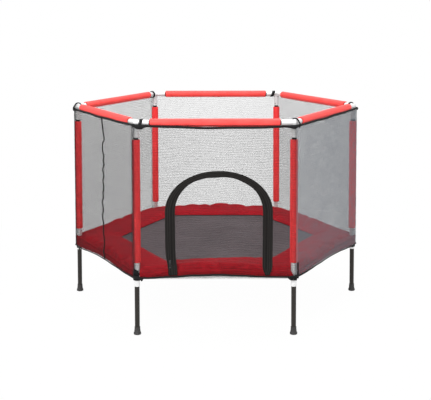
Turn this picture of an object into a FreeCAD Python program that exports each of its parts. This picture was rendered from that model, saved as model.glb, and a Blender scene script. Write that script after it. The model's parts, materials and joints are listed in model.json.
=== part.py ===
import FreeCAD, Part
import math
import os

import Sketcher
from FreeCAD import Placement, Rotation, Vector

# A hexagonal trampoline with a net enclosure.
# Frame: millimetres, +Z up, origin on the floor under the centre of the mat,
# corners at 0, 60, 120, ... degrees, the doorway in the side that faces -Y.

# Driving dimensions, in millimetres and degrees
SIZES = {
    # Posts: distances along a post are counted from the frame's plane
    "corner_radius": 691,
    "frame_height": 268,
    "lean": 1.415,
    "post_reach": 679,
    "tube_outer": 25.4,
    "tube_wall": 1.4,
    "pole_fit": 0.3,
    "pole_wall": 1.2,
    "slip": 0.2,
    "seat_gap": 0.3,
    # Jumping frame
    "socket_drop": 44.4,
    "socket_rise": 64,
    "insert_reach": 60,
    "tube_setback": 16,
    "leg_entry": 30,
    "pole_entry": 42,
    # Rubber feet
    "foot_height": 35,
    "foot_wall": 1.5,
    "foot_flare": 4,
    "foot_rim": 9,
    "foot_sole": 5,
    "foot_trim": 1,
    # Top corners and rails
    "tee_drop": 63,
    "tee_stub": 55,
    "tee_core": 15,
    "pole_top_entry": 40,
    "rail_end_gap": 2,
    "rail_reveal": 5,
    "bare_pole": 9,
    # Foam sleeves
    "foam_cover": 4.8,
    "foam_gap": 0.3,
    # Snap buttons
    "button_outer": 6,
    "button_gap": 0.2,
    "button_length": 7,
    "button_stand": 2.5,
    "button_inset": 11,
    # Mat
    "mat_setback": 137,
    "mat_rise": 22,
    "mat_thickness": 2,
    "band_width": 28,
    "band_thickness": 1.5,
    # Springs and the rings that they hook
    "springs_per_side": 5,
    "spring_margin": 67,
    "spring_outer": 11,
    "hook_wire": 2,
    "hook_clearance": 0.4,
    "hook_hole": 3.6,
    "hook_angle": 50,
    "hook_depth": 6,
    "hook_tail": 4.5,
    "coil_setback_tube": 6,
    "coil_setback_ring": 11,
    "ring_wire": 3,
    "ring_inset": 8,
    "ring_reach": 15,
    "ring_half_width": 13,
    "ring_half_tip": 4,
    # Safety pad and its skirt
    "pad_cover": 64,
    "pad_gap": 0.8,
    "pad_lip": 6,
    "pad_edge": 22,
    "pad_crown": 880,
    "post_gap": 1,
    "skirt_gap": 0.5,
    "skirt_thickness": 2,
    "skirt_drop": 12,
    "skirt_rise": 44,
    "skirt_slit": 7.3,
    # Net, its hems and its seam
    "net_gap": 0.5,
    "net_thickness": 1,
    "net_drop": 10,
    "hem_drop": 10.8,
    "hem_height": 10,
    "hem_thickness": 2.2,
    "seam_width": 4,
    "seam_thickness": 1.6,
    "seam_shift": 17,
    # Arched doorway: its outer edge, and the two tapes' widths down the legs and at the crown
    "door_centre": 16,
    "door_sill": 11,
    "door_half": 232,
    "door_height": 473,
    "crown_rise": 43,
    "shoulder_inset": 72,
    "door_gap": 0.8,
    "outer_tape_leg": 27,
    "outer_tape_crown": 16,
    "inner_tape_leg": 17,
    "inner_tape_crown": 11,
    "tape_thickness": 1.5,
    # Zip slider and pull
    "slider_inset": 18,
    "slider_rise": 66,
    "slider_length": 13,
    "slider_foot": 6.8,
    "slider_width": 10,
    "slider_brow": 8,
    "slider_shoulder": 9.7,
    "slider_plate": 2.2,
    "ear_width": 1,
    "ear_spread": 3.1,
    "ear_reach": 3,
    "ear_length": 4,
    "pin_outer": 1.6,
    "pin_stand": 1.8,
    "pin_level": 7,
    "pin_clearance": 0.08,
    "eye_outer": 3.2,
    "eye_width": 4.4,
    "pull_neck": 4,
    "pull_width": 8,
    "pull_length": 26,
    "pull_thickness": 1.2,
    "pull_corner": 2,
    "pull_slot": 4,
    "pull_slot_margin": 5,
    # Elastic ties
    "tie_gap": 0.2,
    "tie_thickness": 1.6,
    "tie_width": 9,
    "tie_stand": 30,
    "tie_strap": 1.4,
}

CORNERS = ["right", "back_right", "back_left", "left", "front_left", "front_right"]
SIDES = ["right_back", "back", "left_back", "left_front", "front", "right_front"]
FRONT = SIDES.index("front")
SEAM_SIDE = SIDES.index("left_front")

# Working sizes of the cutting shapes, larger than the object, and how far they overrun
SECTOR_REACH = 1200
CUTTER = 1400
MARGIN = 5

# Flat sides that stand in for rounds: outsides of tubes, bores that hold a tube, small and hidden rounds
TUBE_SIDES = 24
BORE_SIDES = 12
SMALL_SIDES = 8
SPRING_SIDES = 6

# Sizes and heights that follow from the driving dimensions
POLE_OUTER = "(Sizes.tube_outer - 2 * Sizes.tube_wall - 2 * Sizes.pole_fit)"
POLE_BORE = f"({POLE_OUTER} - 2 * Sizes.pole_wall)"
FOAM_OUTER = "(Sizes.tube_outer + 2 * Sizes.foam_cover)"
FOOT_TOP = f"({POLE_OUTER} + 2 * Sizes.foot_wall)"
FOOT_BASE = f"({FOOT_TOP} + 2 * Sizes.foot_flare)"
MAT_RADIUS = "(Sizes.corner_radius - Sizes.mat_setback)"
MAT_TOP = "(Sizes.frame_height + Sizes.mat_rise)"
SPRING_SPAN = f"({MAT_RADIUS} - 2 * Sizes.spring_margin)"
PAD_INNER = f"({MAT_RADIUS} - Sizes.pad_cover)"
PAD_REST = f"({MAT_TOP} + Sizes.pad_gap)"
SKIRT_FACE = "(Sizes.tube_outer / 2 + Sizes.skirt_gap)"
PAD_REACH = f"({SKIRT_FACE} - Sizes.seat_gap)"
NET_INNER = f"({FOAM_OUTER} / 2 + Sizes.net_gap)"
NET_FACE = f"({NET_INNER} + Sizes.net_thickness)"
NET_FOOT = "(Sizes.frame_height - Sizes.net_drop)"
NET_TOP = "(Sizes.frame_height + Sizes.post_reach * cos(Sizes.lean) - Sizes.hem_drop)"
DOOR_FOOT = f"({NET_FOOT} + Sizes.door_sill)"
DOOR_CROWN = f"({DOOR_FOOT} + Sizes.door_height)"
DOOR_SPRING = f"({DOOR_CROWN} - Sizes.crown_rise - Sizes.door_half + Sizes.shoulder_inset)"

# Half widths and crowns of the doorway's three outlines
BAND = ("Sizes.door_half", DOOR_CROWN)
PARTING = (f"({BAND[0]} - Sizes.outer_tape_leg)", f"({BAND[1]} - Sizes.outer_tape_crown)")
INNER = (f"({PARTING[0]} - Sizes.inner_tape_leg)", f"({PARTING[1]} - Sizes.inner_tape_crown)")

UP = Vector(0, 0, 1)
Y_AXIS = Vector(0, 1, 0)
X_AXIS = Vector(1, 0, 0)

os.makedirs("parts", exist_ok=True)
doc = FreeCAD.newDocument("trampoline")
sheet = doc.addObject("Spreadsheet::Sheet", "Sizes")
for row, (alias, number) in enumerate(SIZES.items(), start=1):
    sheet.set(f"A{row}", alias)
    sheet.set(f"B{row}", str(number))
    sheet.setAlias(f"B{row}", alias)
doc.recompute()

nodes = []
cuts = []


def size(alias):
    return float(getattr(sheet, alias))


def worked_out(expression):
    return float(sheet.evalExpression(expression))


def node(piece, name):
    piece.Label = name
    nodes.append(piece)
    return piece


# Document helpers

# An expression ties a property to the sheet; a number sets it
def bind(item, **values):
    for prop, value in values.items():
        if isinstance(value, str):
            item.setExpression(prop, value)
        else:
            setattr(item, prop, value)


def box(name, length, width, height, placement=None):
    item = doc.addObject("Part::Box", name)
    bind(item, Length=length, Width=width, Height=height)
    item.Placement = placement or Placement()
    return item


# A flat-sided cylinder, whose corners lie at the radius or, around a round piece, outside it
def prism(name, radius, height, placement=None, sides=6, around=False):
    item = doc.addObject("Part::Prism", name)
    item.Polygon = sides
    bind(item, Circumradius=outside(radius, sides) if around else radius, Height=height)
    item.Placement = placement or Placement()
    return item


# Straight faces between flat-sided outlines, each given as a corner radius and a height
def loft(name, sides, outlines):
    rims = []
    for number, (radius, height) in enumerate(outlines):
        rim = doc.addObject("Part::RegularPolygon", f"{name}_{number}")
        rim.Polygon = sides
        rim.setExpression("Circumradius", radius)
        rim.setExpression("Placement.Base.z", height)
        rims.append(rim)
    item = doc.addObject("Part::Loft", name)
    item.Sections = rims
    item.Solid = True
    item.Ruled = True
    return item


# The size to the corners of a flat-sided outline that a circle of this size touches from inside
def outside(across, sides):
    return f"({across}) / cos({180 / sides})"


def fuse(name, *shapes):
    item = doc.addObject("Part::MultiFuse", name)
    item.Shapes = list(shapes)
    return item


def cut(name, base, *tools):
    item = doc.addObject("Part::Cut", name)
    item.Base = base
    item.Tool = tools[0] if len(tools) == 1 else fuse(name + "_tools", *tools)
    cuts.append((item, base))
    return item


def common(name, base, tool):
    item = doc.addObject("Part::Common", name)
    item.Base = base
    item.Tool = tool
    return item


def group(name, members):
    item = doc.addObject("Part::Compound", name)
    item.Links = members
    return item


def copies(name, master, placements):
    links = []
    for number, placement in enumerate(placements, start=1):
        link = doc.addObject("App::Link", f"{name}_{number}")
        link.setLink(master)
        link.Placement = placement
        links.append(link)
    return group(name, links)


# Sketch and feature helpers

def sketch_on(body, role, name):
    sketch = body.newObject("Sketcher::SketchObject", name)
    plane = [item for item in body.Origin.OriginFeatures if item.Role == role][0]
    sketch.AttachmentSupport = [(plane, "")]
    sketch.MapMode = "FlatFace"
    return sketch


# Bind a point's two coordinates; a point of an arc is given its starting place too
def fix_point(sketch, geometry, end, x, y, at=Vector(1, 1, 0)):
    for kind, expression, start in (("DistanceX", x, at.x), ("DistanceY", y, at.y)):
        index = sketch.addConstraint(Sketcher.Constraint(kind, -1, 1, geometry, end, start))
        sketch.setExpression(f"Constraints[{index}]", expression)


def add_outline(sketch, points):
    count = len(points)
    start = sketch.GeometryCount
    ring = [2 * math.pi * i / count for i in range(count + 1)]
    corners = [Vector(20 + 9 * math.cos(turn), 20 + 9 * math.sin(turn), 0) for turn in ring]
    for i in range(count):
        sketch.addGeometry(Part.LineSegment(corners[i], corners[i + 1]), False)
    for i in range(count):
        following = start + (i + 1) % count
        sketch.addConstraint(Sketcher.Constraint("Coincident", start + i, 2, following, 1))
    for i, (x, y) in enumerate(points):
        fix_point(sketch, start + i, 1, x, y)


# A closed outline of equal flats with its corners at the radius
def add_flats(sketch, radius, sides, y="0"):
    turns = [360 * i / sides for i in range(sides)]
    add_outline(sketch, [
        (f"({radius}) * cos({turn})", f"{y} + ({radius}) * sin({turn})") for turn in turns
    ])


def pad(body, sketch, length, midplane=False):
    item = body.newObject("PartDesign::Pad", body.Name + "_pad")
    item.Profile = sketch
    item.setExpression("Length", length)
    item.Midplane = midplane
    return item


# A tube along Z, flat-sided, with the corners of its outline and its bore this far across
def tube(name, outer, bore, length, placement=None, bore_sides=SMALL_SIDES):
    body = doc.addObject("PartDesign::Body", name)
    sketch = sketch_on(body, "XY_Plane", name + "_ring")
    add_flats(sketch, f"({outer}) / 2", TUBE_SIDES)
    add_flats(sketch, f"({bore}) / 2", bore_sides)
    pad(body, sketch, length)
    body.Placement = placement or Placement()
    return body


# A hole through the wall on the tube's -X side
def wall_hole(body, radius, height, sides):
    solid = body.Tip
    sketch = sketch_on(body, "YZ_Plane", body.Name + "_hole_outline")
    add_flats(sketch, outside(radius, sides), sides, height)
    pocket = body.newObject("PartDesign::Pocket", body.Name + "_hole")
    pocket.Profile = sketch
    pocket.setExpression("Length", "Sizes.tube_outer")
    cuts.append((pocket, solid))
    return pocket


# Frames of reference

POST_TURN = Rotation(Y_AXIS, -size("lean"))
PANEL_TILT = math.degrees(math.atan(math.tan(math.radians(size("lean"))) * math.cos(math.pi / 6)))
RING_RADIUS = size("corner_radius") - size("post_reach") * math.sin(math.radians(size("lean")))
RING_HEIGHT = size("frame_height") + size("post_reach") * math.cos(math.radians(size("lean")))
FLOOR_REACH = size("frame_height") / math.cos(math.radians(size("lean")))
FRAME_APOTHEM = size("corner_radius") * math.cos(math.pi / 6)
RING_SIDE = "(Sizes.corner_radius - Sizes.post_reach * sin(Sizes.lean))"


# A post's own frame: origin where its axis meets the frame's plane, X outwards, Z up the post
def on_post(corner, along=0, aside=0, turn=None):
    base = Vector(size("corner_radius"), 0, size("frame_height"))
    post = Placement(Vector(), Rotation(UP, 60 * corner)) * Placement(base, POST_TURN)
    return post * Placement(Vector(aside, 0, along), turn or Rotation())


# A side's own frame: origin at the centre of the floor, X outwards through the side's middle
def on_side(side, x=0, y=0, z=0, turn=None):
    frame = Placement(Vector(), Rotation(UP, 60 * side + 30))
    return frame * Placement(Vector(x, y, z), turn or Rotation())


# The front net plane's frame: X to the right, Z up the leaning plane, -Y outwards
def on_front(x, height, offset):
    lean_back = (height - size("frame_height")) * math.tan(math.radians(size("lean")))
    apothem = (size("corner_radius") - lean_back) * math.cos(math.pi / 6)
    return Placement(Vector(x, -apothem - offset, height), Rotation(X_AXIS, -PANEL_TILT))


# The direction of a neighbouring corner, seen from a post's own frame
def stub_turn(sign):
    heading = Vector(math.cos(2 * math.pi / 3), sign * math.sin(2 * math.pi / 3), 0)
    return Rotation(UP, POST_TURN.inverted().multVec(heading))


# A placement in a post's frame, a distance out along one of the two stub directions
def on_stub(sign, out, up=0):
    turn = stub_turn(sign)
    return Placement(Vector(0, 0, up) + turn.multVec(UP) * out, turn)


# Legs, feet and their buttons

BUTTON_HOLE = "Sizes.button_outer / 2 + Sizes.button_gap"


def make_leg(corner):
    name = "leg_" + CORNERS[corner]
    foot_gap = size("foot_sole") + size("seat_gap")
    reach = "Sizes.frame_height / cos(Sizes.lean) - Sizes.socket_drop - Sizes.foot_sole - Sizes.seat_gap"
    body = tube(
        name, POLE_OUTER, POLE_BORE, reach + " + Sizes.leg_entry",
        on_post(corner, foot_gap - FLOOR_REACH),
    )
    wall_hole(body, BUTTON_HOLE, reach + " + Sizes.button_inset", SMALL_SIDES)
    return node(body, name)


# A bell-shaped cap: a straight rim on the floor, then a taper up to the mouth of its socket
def make_foot(corner):
    name = "foot_" + CORNERS[corner]
    top = "Sizes.foot_trim + Sizes.foot_height"
    bell = loft(name + "_bell", TUBE_SIDES, [
        (FOOT_BASE + " / 2", "0"),
        (FOOT_BASE + " / 2", "Sizes.foot_trim + Sizes.foot_rim"),
        (FOOT_TOP + " / 2", top),
    ])
    socket = prism(
        name + "_socket", POLE_OUTER + " / 2 + Sizes.slip", "Sizes.foot_height",
        Placement(Vector(0, 0, size("foot_trim") + size("foot_sole")), Rotation()),
        BORE_SIDES, around=True,
    )
    foot = cut(name, bell, socket)
    foot.Placement = on_post(corner, -FLOOR_REACH - size("foot_trim"))
    return foot


def make_feet():
    floor = box(
        "floor_cutter", 2 * CUTTER, 2 * CUTTER, CUTTER,
        Placement(Vector(-CUTTER, -CUTTER, -CUTTER), Rotation()),
    )
    feet = group("feet_untrimmed", [make_foot(corner) for corner in range(6)])
    return node(cut("leg_feet", feet, floor), "leg_feet")


# A button points inwards, through the walls of a tube and of the pole or leg inside it
def make_button(name, corner, along):
    depth = size("tube_outer") / 2 + size("button_stand") - size("button_length")
    return prism(
        name, "Sizes.button_outer / 2", "Sizes.button_length",
        on_post(corner, along, -depth, Rotation(Y_AXIS, -90)), SMALL_SIDES,
    )


def make_buttons():
    leg_level = size("button_inset") - size("socket_drop")
    tee_level = size("post_reach") - size("tee_drop") + size("button_inset")
    buttons = []
    for corner, place in enumerate(CORNERS):
        buttons.append(make_button("leg_button_" + place, corner, leg_level))
        buttons.append(make_button("tee_button_" + place, corner, tee_level))
    return node(group("snap_buttons", buttons), "snap_buttons")


# The radial hole for a button in a sleeve, on its inner side
def button_bore(name, along):
    return prism(
        name, BUTTON_HOLE, "Sizes.tube_outer",
        Placement(Vector(0, 0, along), Rotation(Y_AXIS, -90)), SMALL_SIDES, around=True,
    )


# Jumping frame

# An upright sleeve with a welded insert to each side, which the frame tubes slide over
def make_frame_corner(corner):
    name = "frame_corner_" + CORNERS[corner]
    low = Placement(Vector(0, 0, -size("socket_drop")), Rotation())
    height = "Sizes.socket_drop + Sizes.socket_rise"
    bore = "Sizes.tube_outer / 2 - Sizes.tube_wall"
    solids = [prism(name + "_sleeve", "Sizes.tube_outer / 2", height, low, TUBE_SIDES)]
    for side, sign in (("a", 1), ("b", -1)):
        solids.append(prism(
            f"{name}_insert_{side}", bore + " - Sizes.slip", "Sizes.insert_reach",
            on_stub(sign, 0), SMALL_SIDES,
        ))
    item = cut(
        name, fuse(name + "_solid", *solids),
        prism(name + "_bore", bore, height, low, BORE_SIDES, around=True),
        button_bore(name + "_button", size("button_inset") - size("socket_drop")),
    )
    item.Placement = on_post(corner)
    return node(item, name)


# A side tube, with the row of spring holes on its upper inner wall
def make_frame_tube(side):
    name = "frame_tube_" + SIDES[side]
    length = "Sizes.corner_radius - 2 * Sizes.tube_setback"
    bore = outside("Sizes.tube_outer - 2 * Sizes.tube_wall", BORE_SIDES)
    body = tube(name, "Sizes.tube_outer", bore, length, bore_sides=BORE_SIDES)
    hole = wall_hole(body, "Sizes.hook_hole / 2", f"({length} - {SPRING_SPAN}) / 2", 4)
    doc.recompute()
    row = body.newObject("PartDesign::LinearPattern", name + "_hole_row")
    row.Originals = [hole]
    axis = [item for item in body.Origin.OriginFeatures if item.Role == "Z_Axis"][0]
    row.Direction = (axis, [""])
    row.setExpression("Length", SPRING_SPAN)
    row.setExpression("Occurrences", "Sizes.springs_per_side")
    body.Tip = row
    cuts.append((row, hole))
    climb = math.radians(size("hook_angle"))
    away = Vector(math.cos(climb), 0, -math.sin(climb))
    turn = Rotation(away, Y_AXIS.cross(away), Y_AXIS, "ZXY")
    start = size("tube_setback") - size("corner_radius") / 2
    body.Placement = on_side(side, FRAME_APOTHEM, start, size("frame_height"), turn)
    return node(body, name)


# Enclosure posts, rails and their foam

def make_pole(corner):
    name = "net_pole_" + CORNERS[corner]
    start = size("socket_rise") - size("pole_entry")
    reach = "Sizes.post_reach - Sizes.tee_drop - Sizes.socket_rise + Sizes.pole_entry"
    body = tube(
        name, POLE_OUTER, POLE_BORE, reach + " + Sizes.pole_top_entry", on_post(corner, start),
    )
    wall_hole(body, BUTTON_HOLE, reach + " + Sizes.button_inset", SMALL_SIDES)
    return node(body, name)


def make_foam(name, length, placement):
    bore = outside(f"{POLE_OUTER} + 2 * Sizes.foam_gap", SMALL_SIDES)
    return node(tube(name, FOAM_OUTER, bore, length, placement), name)


def make_pole_sleeve(corner):
    return make_foam(
        "pole_sleeve_" + CORNERS[corner],
        "Sizes.post_reach - Sizes.tee_drop - Sizes.bare_pole - Sizes.socket_rise - Sizes.seat_gap",
        on_post(corner, size("socket_rise") + size("seat_gap")),
    )


# Along the top of a side, starting a distance in from its first corner
def on_rail(side, start):
    reach = start - RING_RADIUS / 2
    turn = Rotation(X_AXIS, -90)
    return on_side(side, RING_RADIUS * math.cos(math.pi / 6), reach, RING_HEIGHT, turn)


def make_rail_sleeve(side):
    return make_foam(
        "rail_sleeve_" + SIDES[side],
        RING_SIDE + " - 2 * (Sizes.tee_stub + Sizes.rail_reveal)",
        on_rail(side, size("tee_stub") + size("rail_reveal")),
    )


def make_rails():
    rails = []
    for side, place in enumerate(SIDES):
        rails.append(tube(
            "rail_" + place, POLE_OUTER, POLE_BORE,
            RING_SIDE + " - 2 * (Sizes.tee_core + Sizes.rail_end_gap)",
            on_rail(side, size("tee_core") + size("rail_end_gap")),
        ))
    return node(group("top_rails", rails), "top_rails")


# A three-way top corner: two rail stubs mitred together, and a drop stub under the mitre
def make_tee(corner):
    name = "top_corner_" + CORNERS[corner]
    bore = "(Sizes.tube_outer / 2 - Sizes.tube_wall)"
    low = Placement(Vector(0, 0, -size("tee_drop")), Rotation())
    overrun = "Sizes.tube_outer"
    solids = [prism(name + "_drop", "Sizes.tube_outer / 2", "Sizes.tee_drop", low, TUBE_SIDES)]
    tools = [
        prism(
            name + "_drop_bore", bore, "Sizes.tee_drop - Sizes.tee_core", low,
            BORE_SIDES, around=True,
        ),
        button_bore(name + "_button", size("button_inset") - size("tee_drop")),
    ]
    for side, sign in (("a", 1), ("b", -1)):
        stub = prism(
            f"{name}_run_{side}", "Sizes.tube_outer / 2", f"Sizes.tee_stub + {overrun}",
            on_stub(sign, -size("tube_outer")), TUBE_SIDES,
        )
        beyond = box(f"{name}_beyond_{side}", CUTTER, CUTTER, CUTTER, Placement(
            Vector(-CUTTER / 2, -CUTTER if sign > 0 else 0, -CUTTER / 2), Rotation(),
        ))
        solids.append(cut(f"{name}_stub_{side}", stub, beyond))
        tools.append(prism(
            f"{name}_stub_bore_{side}", bore, "Sizes.tee_stub", on_stub(sign, size("tee_core")),
            BORE_SIDES, around=True,
        ))
    item = cut(name, fuse(name + "_solid", *solids), *tools)
    item.Placement = on_post(corner, size("post_reach"))
    return node(item, name)


# Mat and springs

def make_mat():
    low = worked_out(MAT_TOP) - size("mat_thickness")
    cloth = prism("mat_cloth", MAT_RADIUS, "Sizes.mat_thickness", Placement(UP * low, Rotation()))
    under = Placement(UP * (low - size("band_thickness")), Rotation())
    band = prism("mat_band_outer", MAT_RADIUS, "Sizes.band_thickness", under)
    inner = prism(
        "mat_band_inner", MAT_RADIUS + " - Sizes.band_width / cos(30)", "Sizes.band_thickness", under,
    )
    return node(fuse("mat", cloth, cut("mat_band", band, inner)), "mat")


# Square wire bent along straight runs in a vertical plane
def square_wire(points, width):
    heading = (points[1] - points[0]).normalize()
    across = Y_AXIS * (width / 2)
    over = heading.cross(Y_AXIS) * (width / 2)
    signs = ((1, 1), (-1, 1), (-1, -1), (1, -1), (1, 1))
    section = Part.makePolygon([points[0] + across * a + over * b for a, b in signs])
    mitred = 1
    return Part.makePolygon(points).makePipeShell([section], True, False, mitred)


def hook_level():
    band_foot = worked_out(MAT_TOP) - size("mat_thickness") - size("band_thickness")
    return band_foot - size("seat_gap") - size("ring_wire") / 2


def mat_edge():
    return worked_out(MAT_RADIUS) * math.cos(math.pi / 6)


# One spring in a side's frame, at the middle of the side: a barrel with a hook at each end
def make_spring():
    level = hook_level()
    climb = math.radians(size("hook_angle"))
    towards = Vector(math.cos(climb), 0, -math.sin(climb))
    centre = Vector(FRAME_APOTHEM, 0, size("frame_height"))
    hole = centre - towards * (size("tube_outer") / 2)
    corner = hole - towards * ((level - hole.z) / math.sin(climb))
    ring_line = mat_edge() + size("ring_reach")
    inner = ring_line + size("coil_setback_ring")
    outer = corner.x - size("coil_setback_tube")
    turns = [2 * math.pi * i / SPRING_SIDES for i in range(SPRING_SIDES + 1)]
    radius = size("spring_outer") / 2
    rim = [Vector(inner, radius * math.cos(turn), level + radius * math.sin(turn)) for turn in turns]
    barrel = Part.Face(Part.makePolygon(rim)).extrude(X_AXIS * (outer - inner))
    wire = size("hook_wire")
    tube_hook = [Vector(outer - wire, 0, level), corner, hole + towards * size("hook_depth")]
    swing = size("ring_wire") / 2 + size("hook_clearance") + wire / 2
    ring_hook = [
        Vector(inner + wire, 0, level + swing),
        Vector(ring_line - swing, 0, level + swing),
        Vector(ring_line - swing, 0, level - swing),
        Vector(ring_line + size("hook_tail"), 0, level - swing),
    ]
    return barrel.fuse([square_wire(tube_hook, wire), square_wire(ring_hook, wire)])


# One ring in a side's frame: a closed loop of square wire, wide under the mat's band
def make_ring():
    base = mat_edge() - size("ring_inset")
    tip = mat_edge() + size("ring_reach")
    wide = size("ring_half_width")
    narrow = size("ring_half_tip")
    low = hook_level() - size("ring_wire") / 2
    plan = [(base, -wide), (tip, -narrow), (tip, narrow), (base, wide), (base, -wide)]
    middle = Part.makePolygon([Vector(x, y, low) for x, y in plan])
    sharp = 2
    rim = middle.makeOffset2D(size("ring_wire") / 2, sharp)
    space = middle.makeOffset2D(-size("ring_wire") / 2, sharp)
    return Part.Face(rim).cut(Part.Face(space)).extrude(UP * size("ring_wire"))


def around_mat(name, shape):
    count = int(size("springs_per_side"))
    span = worked_out(SPRING_SPAN)
    solids = []
    for side in range(6):
        for i in range(count):
            solid = shape.copy()
            solid.Placement = on_side(side, y=span * (i / (count - 1) - 0.5))
            solids.append(solid)
    item = doc.addObject("Part::Feature", name)
    item.Shape = Part.makeCompound(solids)
    return node(item, name)


# Cutting shapes

# The sixth of the plan that belongs to one side: a triangle with its tip at the centre
def sector(name, heading):
    turn = Rotation(UP, heading + 180)
    tip = Placement(turn.multVec(Vector(-SECTOR_REACH, 0, 0)), turn)
    return prism(name, SECTOR_REACH, SECTOR_REACH, tip, sides=3)


# Radius of the leaning hexagon at a height, with a face offset outwards
def lean_radius(height, offset):
    drop = f"({height} - Sizes.frame_height) * tan(Sizes.lean)"
    return f"Sizes.corner_radius - {drop} + ({offset}) / cos(30)"


def lean_prism(name, offset, low, high):
    return loft(name, 6, [(lean_radius(height, offset), height) for height in (low, high)])


# A leaning six-sided shell between two offsets
def lean_shell(name, inner, outer, low, high):
    solid = lean_prism(name + "_outer", outer, low, high)
    space = lean_prism(name + "_inner", inner, f"({low} - {MARGIN})", f"({high} + {MARGIN})")
    return cut(name, solid, space)


# Pad and skirt

def make_pad():
    body = doc.addObject("PartDesign::Body", "pad_section")
    sketch = sketch_on(body, "XZ_Plane", "pad_profile")
    inner = worked_out(PAD_INNER) * math.cos(math.pi / 6)
    outer = FRAME_APOTHEM + worked_out(PAD_REACH)
    low = worked_out(PAD_REST)
    lip = Vector(inner, low + size("pad_lip"), 0)
    edge = Vector(outer, low + size("pad_edge"), 0)
    chord = edge - lip
    half = chord.Length / 2
    rise = math.sqrt(size("pad_crown") ** 2 - half**2)
    normal = Vector(chord.y, -chord.x, 0).normalize()
    centre = lip + chord * 0.5 + normal * rise
    circle = Part.Circle(centre, UP, size("pad_crown"))
    crown = Part.ArcOfCircle(circle, circle.parameter(edge), circle.parameter(lip))
    foot_in = Vector(inner, low, 0)
    foot_out = Vector(outer, low, 0)
    sketch.addGeometry(Part.LineSegment(lip, foot_in), False)
    sketch.addGeometry(Part.LineSegment(foot_in, foot_out), False)
    sketch.addGeometry(Part.LineSegment(foot_out, edge), False)
    sketch.addGeometry(crown, False)
    for first, second in ((0, 1), (1, 2), (2, 3)):
        sketch.addConstraint(Sketcher.Constraint("Coincident", first, 2, second, 1))
    sketch.addConstraint(Sketcher.Constraint("Coincident", 3, 2, 0, 1))
    inner_x = PAD_INNER + " * cos(30)"
    outer_x = "Sizes.corner_radius * cos(30) + " + PAD_REACH
    fix_point(sketch, 0, 1, inner_x, PAD_REST + " + Sizes.pad_lip", lip)
    fix_point(sketch, 1, 1, inner_x, PAD_REST, foot_in)
    fix_point(sketch, 2, 1, outer_x, PAD_REST, foot_out)
    fix_point(sketch, 3, 1, outer_x, PAD_REST + " + Sizes.pad_edge", edge)
    index = sketch.addConstraint(Sketcher.Constraint("Radius", 3, size("pad_crown")))
    sketch.setExpression(f"Constraints[{index}]", "Sizes.pad_crown")
    pad(body, sketch, "2 * Sizes.corner_radius", midplane=True)
    wedge = common("pad_wedge", body, sector("pad_sector", 0))
    notches = []
    half = size("tube_outer") / 2 + size("post_gap")
    for name, turn in (("pad_notch_a", 30), ("pad_notch_b", -30)):
        corner = Placement(Vector(), Rotation(UP, turn - 60)) * on_post(1, -size("frame_height") / 2)
        post = prism(
            name, "Sizes.tube_outer / 2 + Sizes.post_gap", "Sizes.frame_height", corner,
            BORE_SIDES, around=True,
        )
        slot = box(
            name + "_slot", "Sizes.corner_radius", "Sizes.tube_outer + 2 * Sizes.post_gap",
            "Sizes.frame_height", corner * Placement(Vector(0, -half, 0), Rotation()),
        )
        notches += [post, slot]
    segment = cut("pad_segment", wedge, *notches)
    return node(copies("pad", segment, [on_side(side) for side in range(6)]), "pad")


def make_skirt():
    height = "Sizes.skirt_rise + Sizes.skirt_drop"
    foot = Placement(UP * (size("frame_height") - size("skirt_drop")), Rotation())
    inner = prism("skirt_inner", f"Sizes.corner_radius + {SKIRT_FACE} / cos(30)", height, foot)
    outer = prism(
        "skirt_outer",
        f"Sizes.corner_radius + ({SKIRT_FACE} + Sizes.skirt_thickness) / cos(30)", height, foot,
    )
    notches = []
    for corner in range(6):
        notches.append(prism(
            f"skirt_notch_{corner}", "Sizes.tube_outer / 2 + Sizes.skirt_slit", "Sizes.frame_height",
            on_post(corner, -size("frame_height") / 2), BORE_SIDES, around=True,
        ))
    return node(cut("pad_skirt", outer, inner, *notches), "pad_skirt")


# Net, hems and seam

def make_net():
    shell = lean_shell("net_shell", NET_INNER, NET_FACE, NET_FOOT, NET_TOP)
    panels = []
    for side in range(6):
        place = SIDES[side]
        panels.append(common("panel_" + place, shell, sector("net_sector_" + place, 60 * side + 30)))
    return panels


def make_hems():
    front = NET_FACE + " + Sizes.hem_thickness"
    under_top = f"({NET_TOP} - Sizes.hem_height)"
    over_foot = f"({NET_FOOT} + Sizes.hem_height)"
    top = lean_shell("top_hem", NET_FACE, front, under_top, NET_TOP)
    foot = lean_shell("foot_hem", NET_FACE, front, NET_FOOT, over_foot)
    strip = lean_shell(
        "seam_shell", NET_FACE, NET_FACE + " + Sizes.seam_thickness",
        f"({over_foot} + Sizes.seat_gap)", f"({under_top} - Sizes.seat_gap)",
    )
    slab = box("seam_slab", CUTTER, "Sizes.seam_width", CUTTER)
    slab.Placement = on_side(SEAM_SIDE, y=size("seam_shift") - size("seam_width") / 2)
    seam = common("net_seam", strip, slab)
    return node(group("net_binding", [top, foot, seam]), "net_binding")


# Arched doorway

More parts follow.
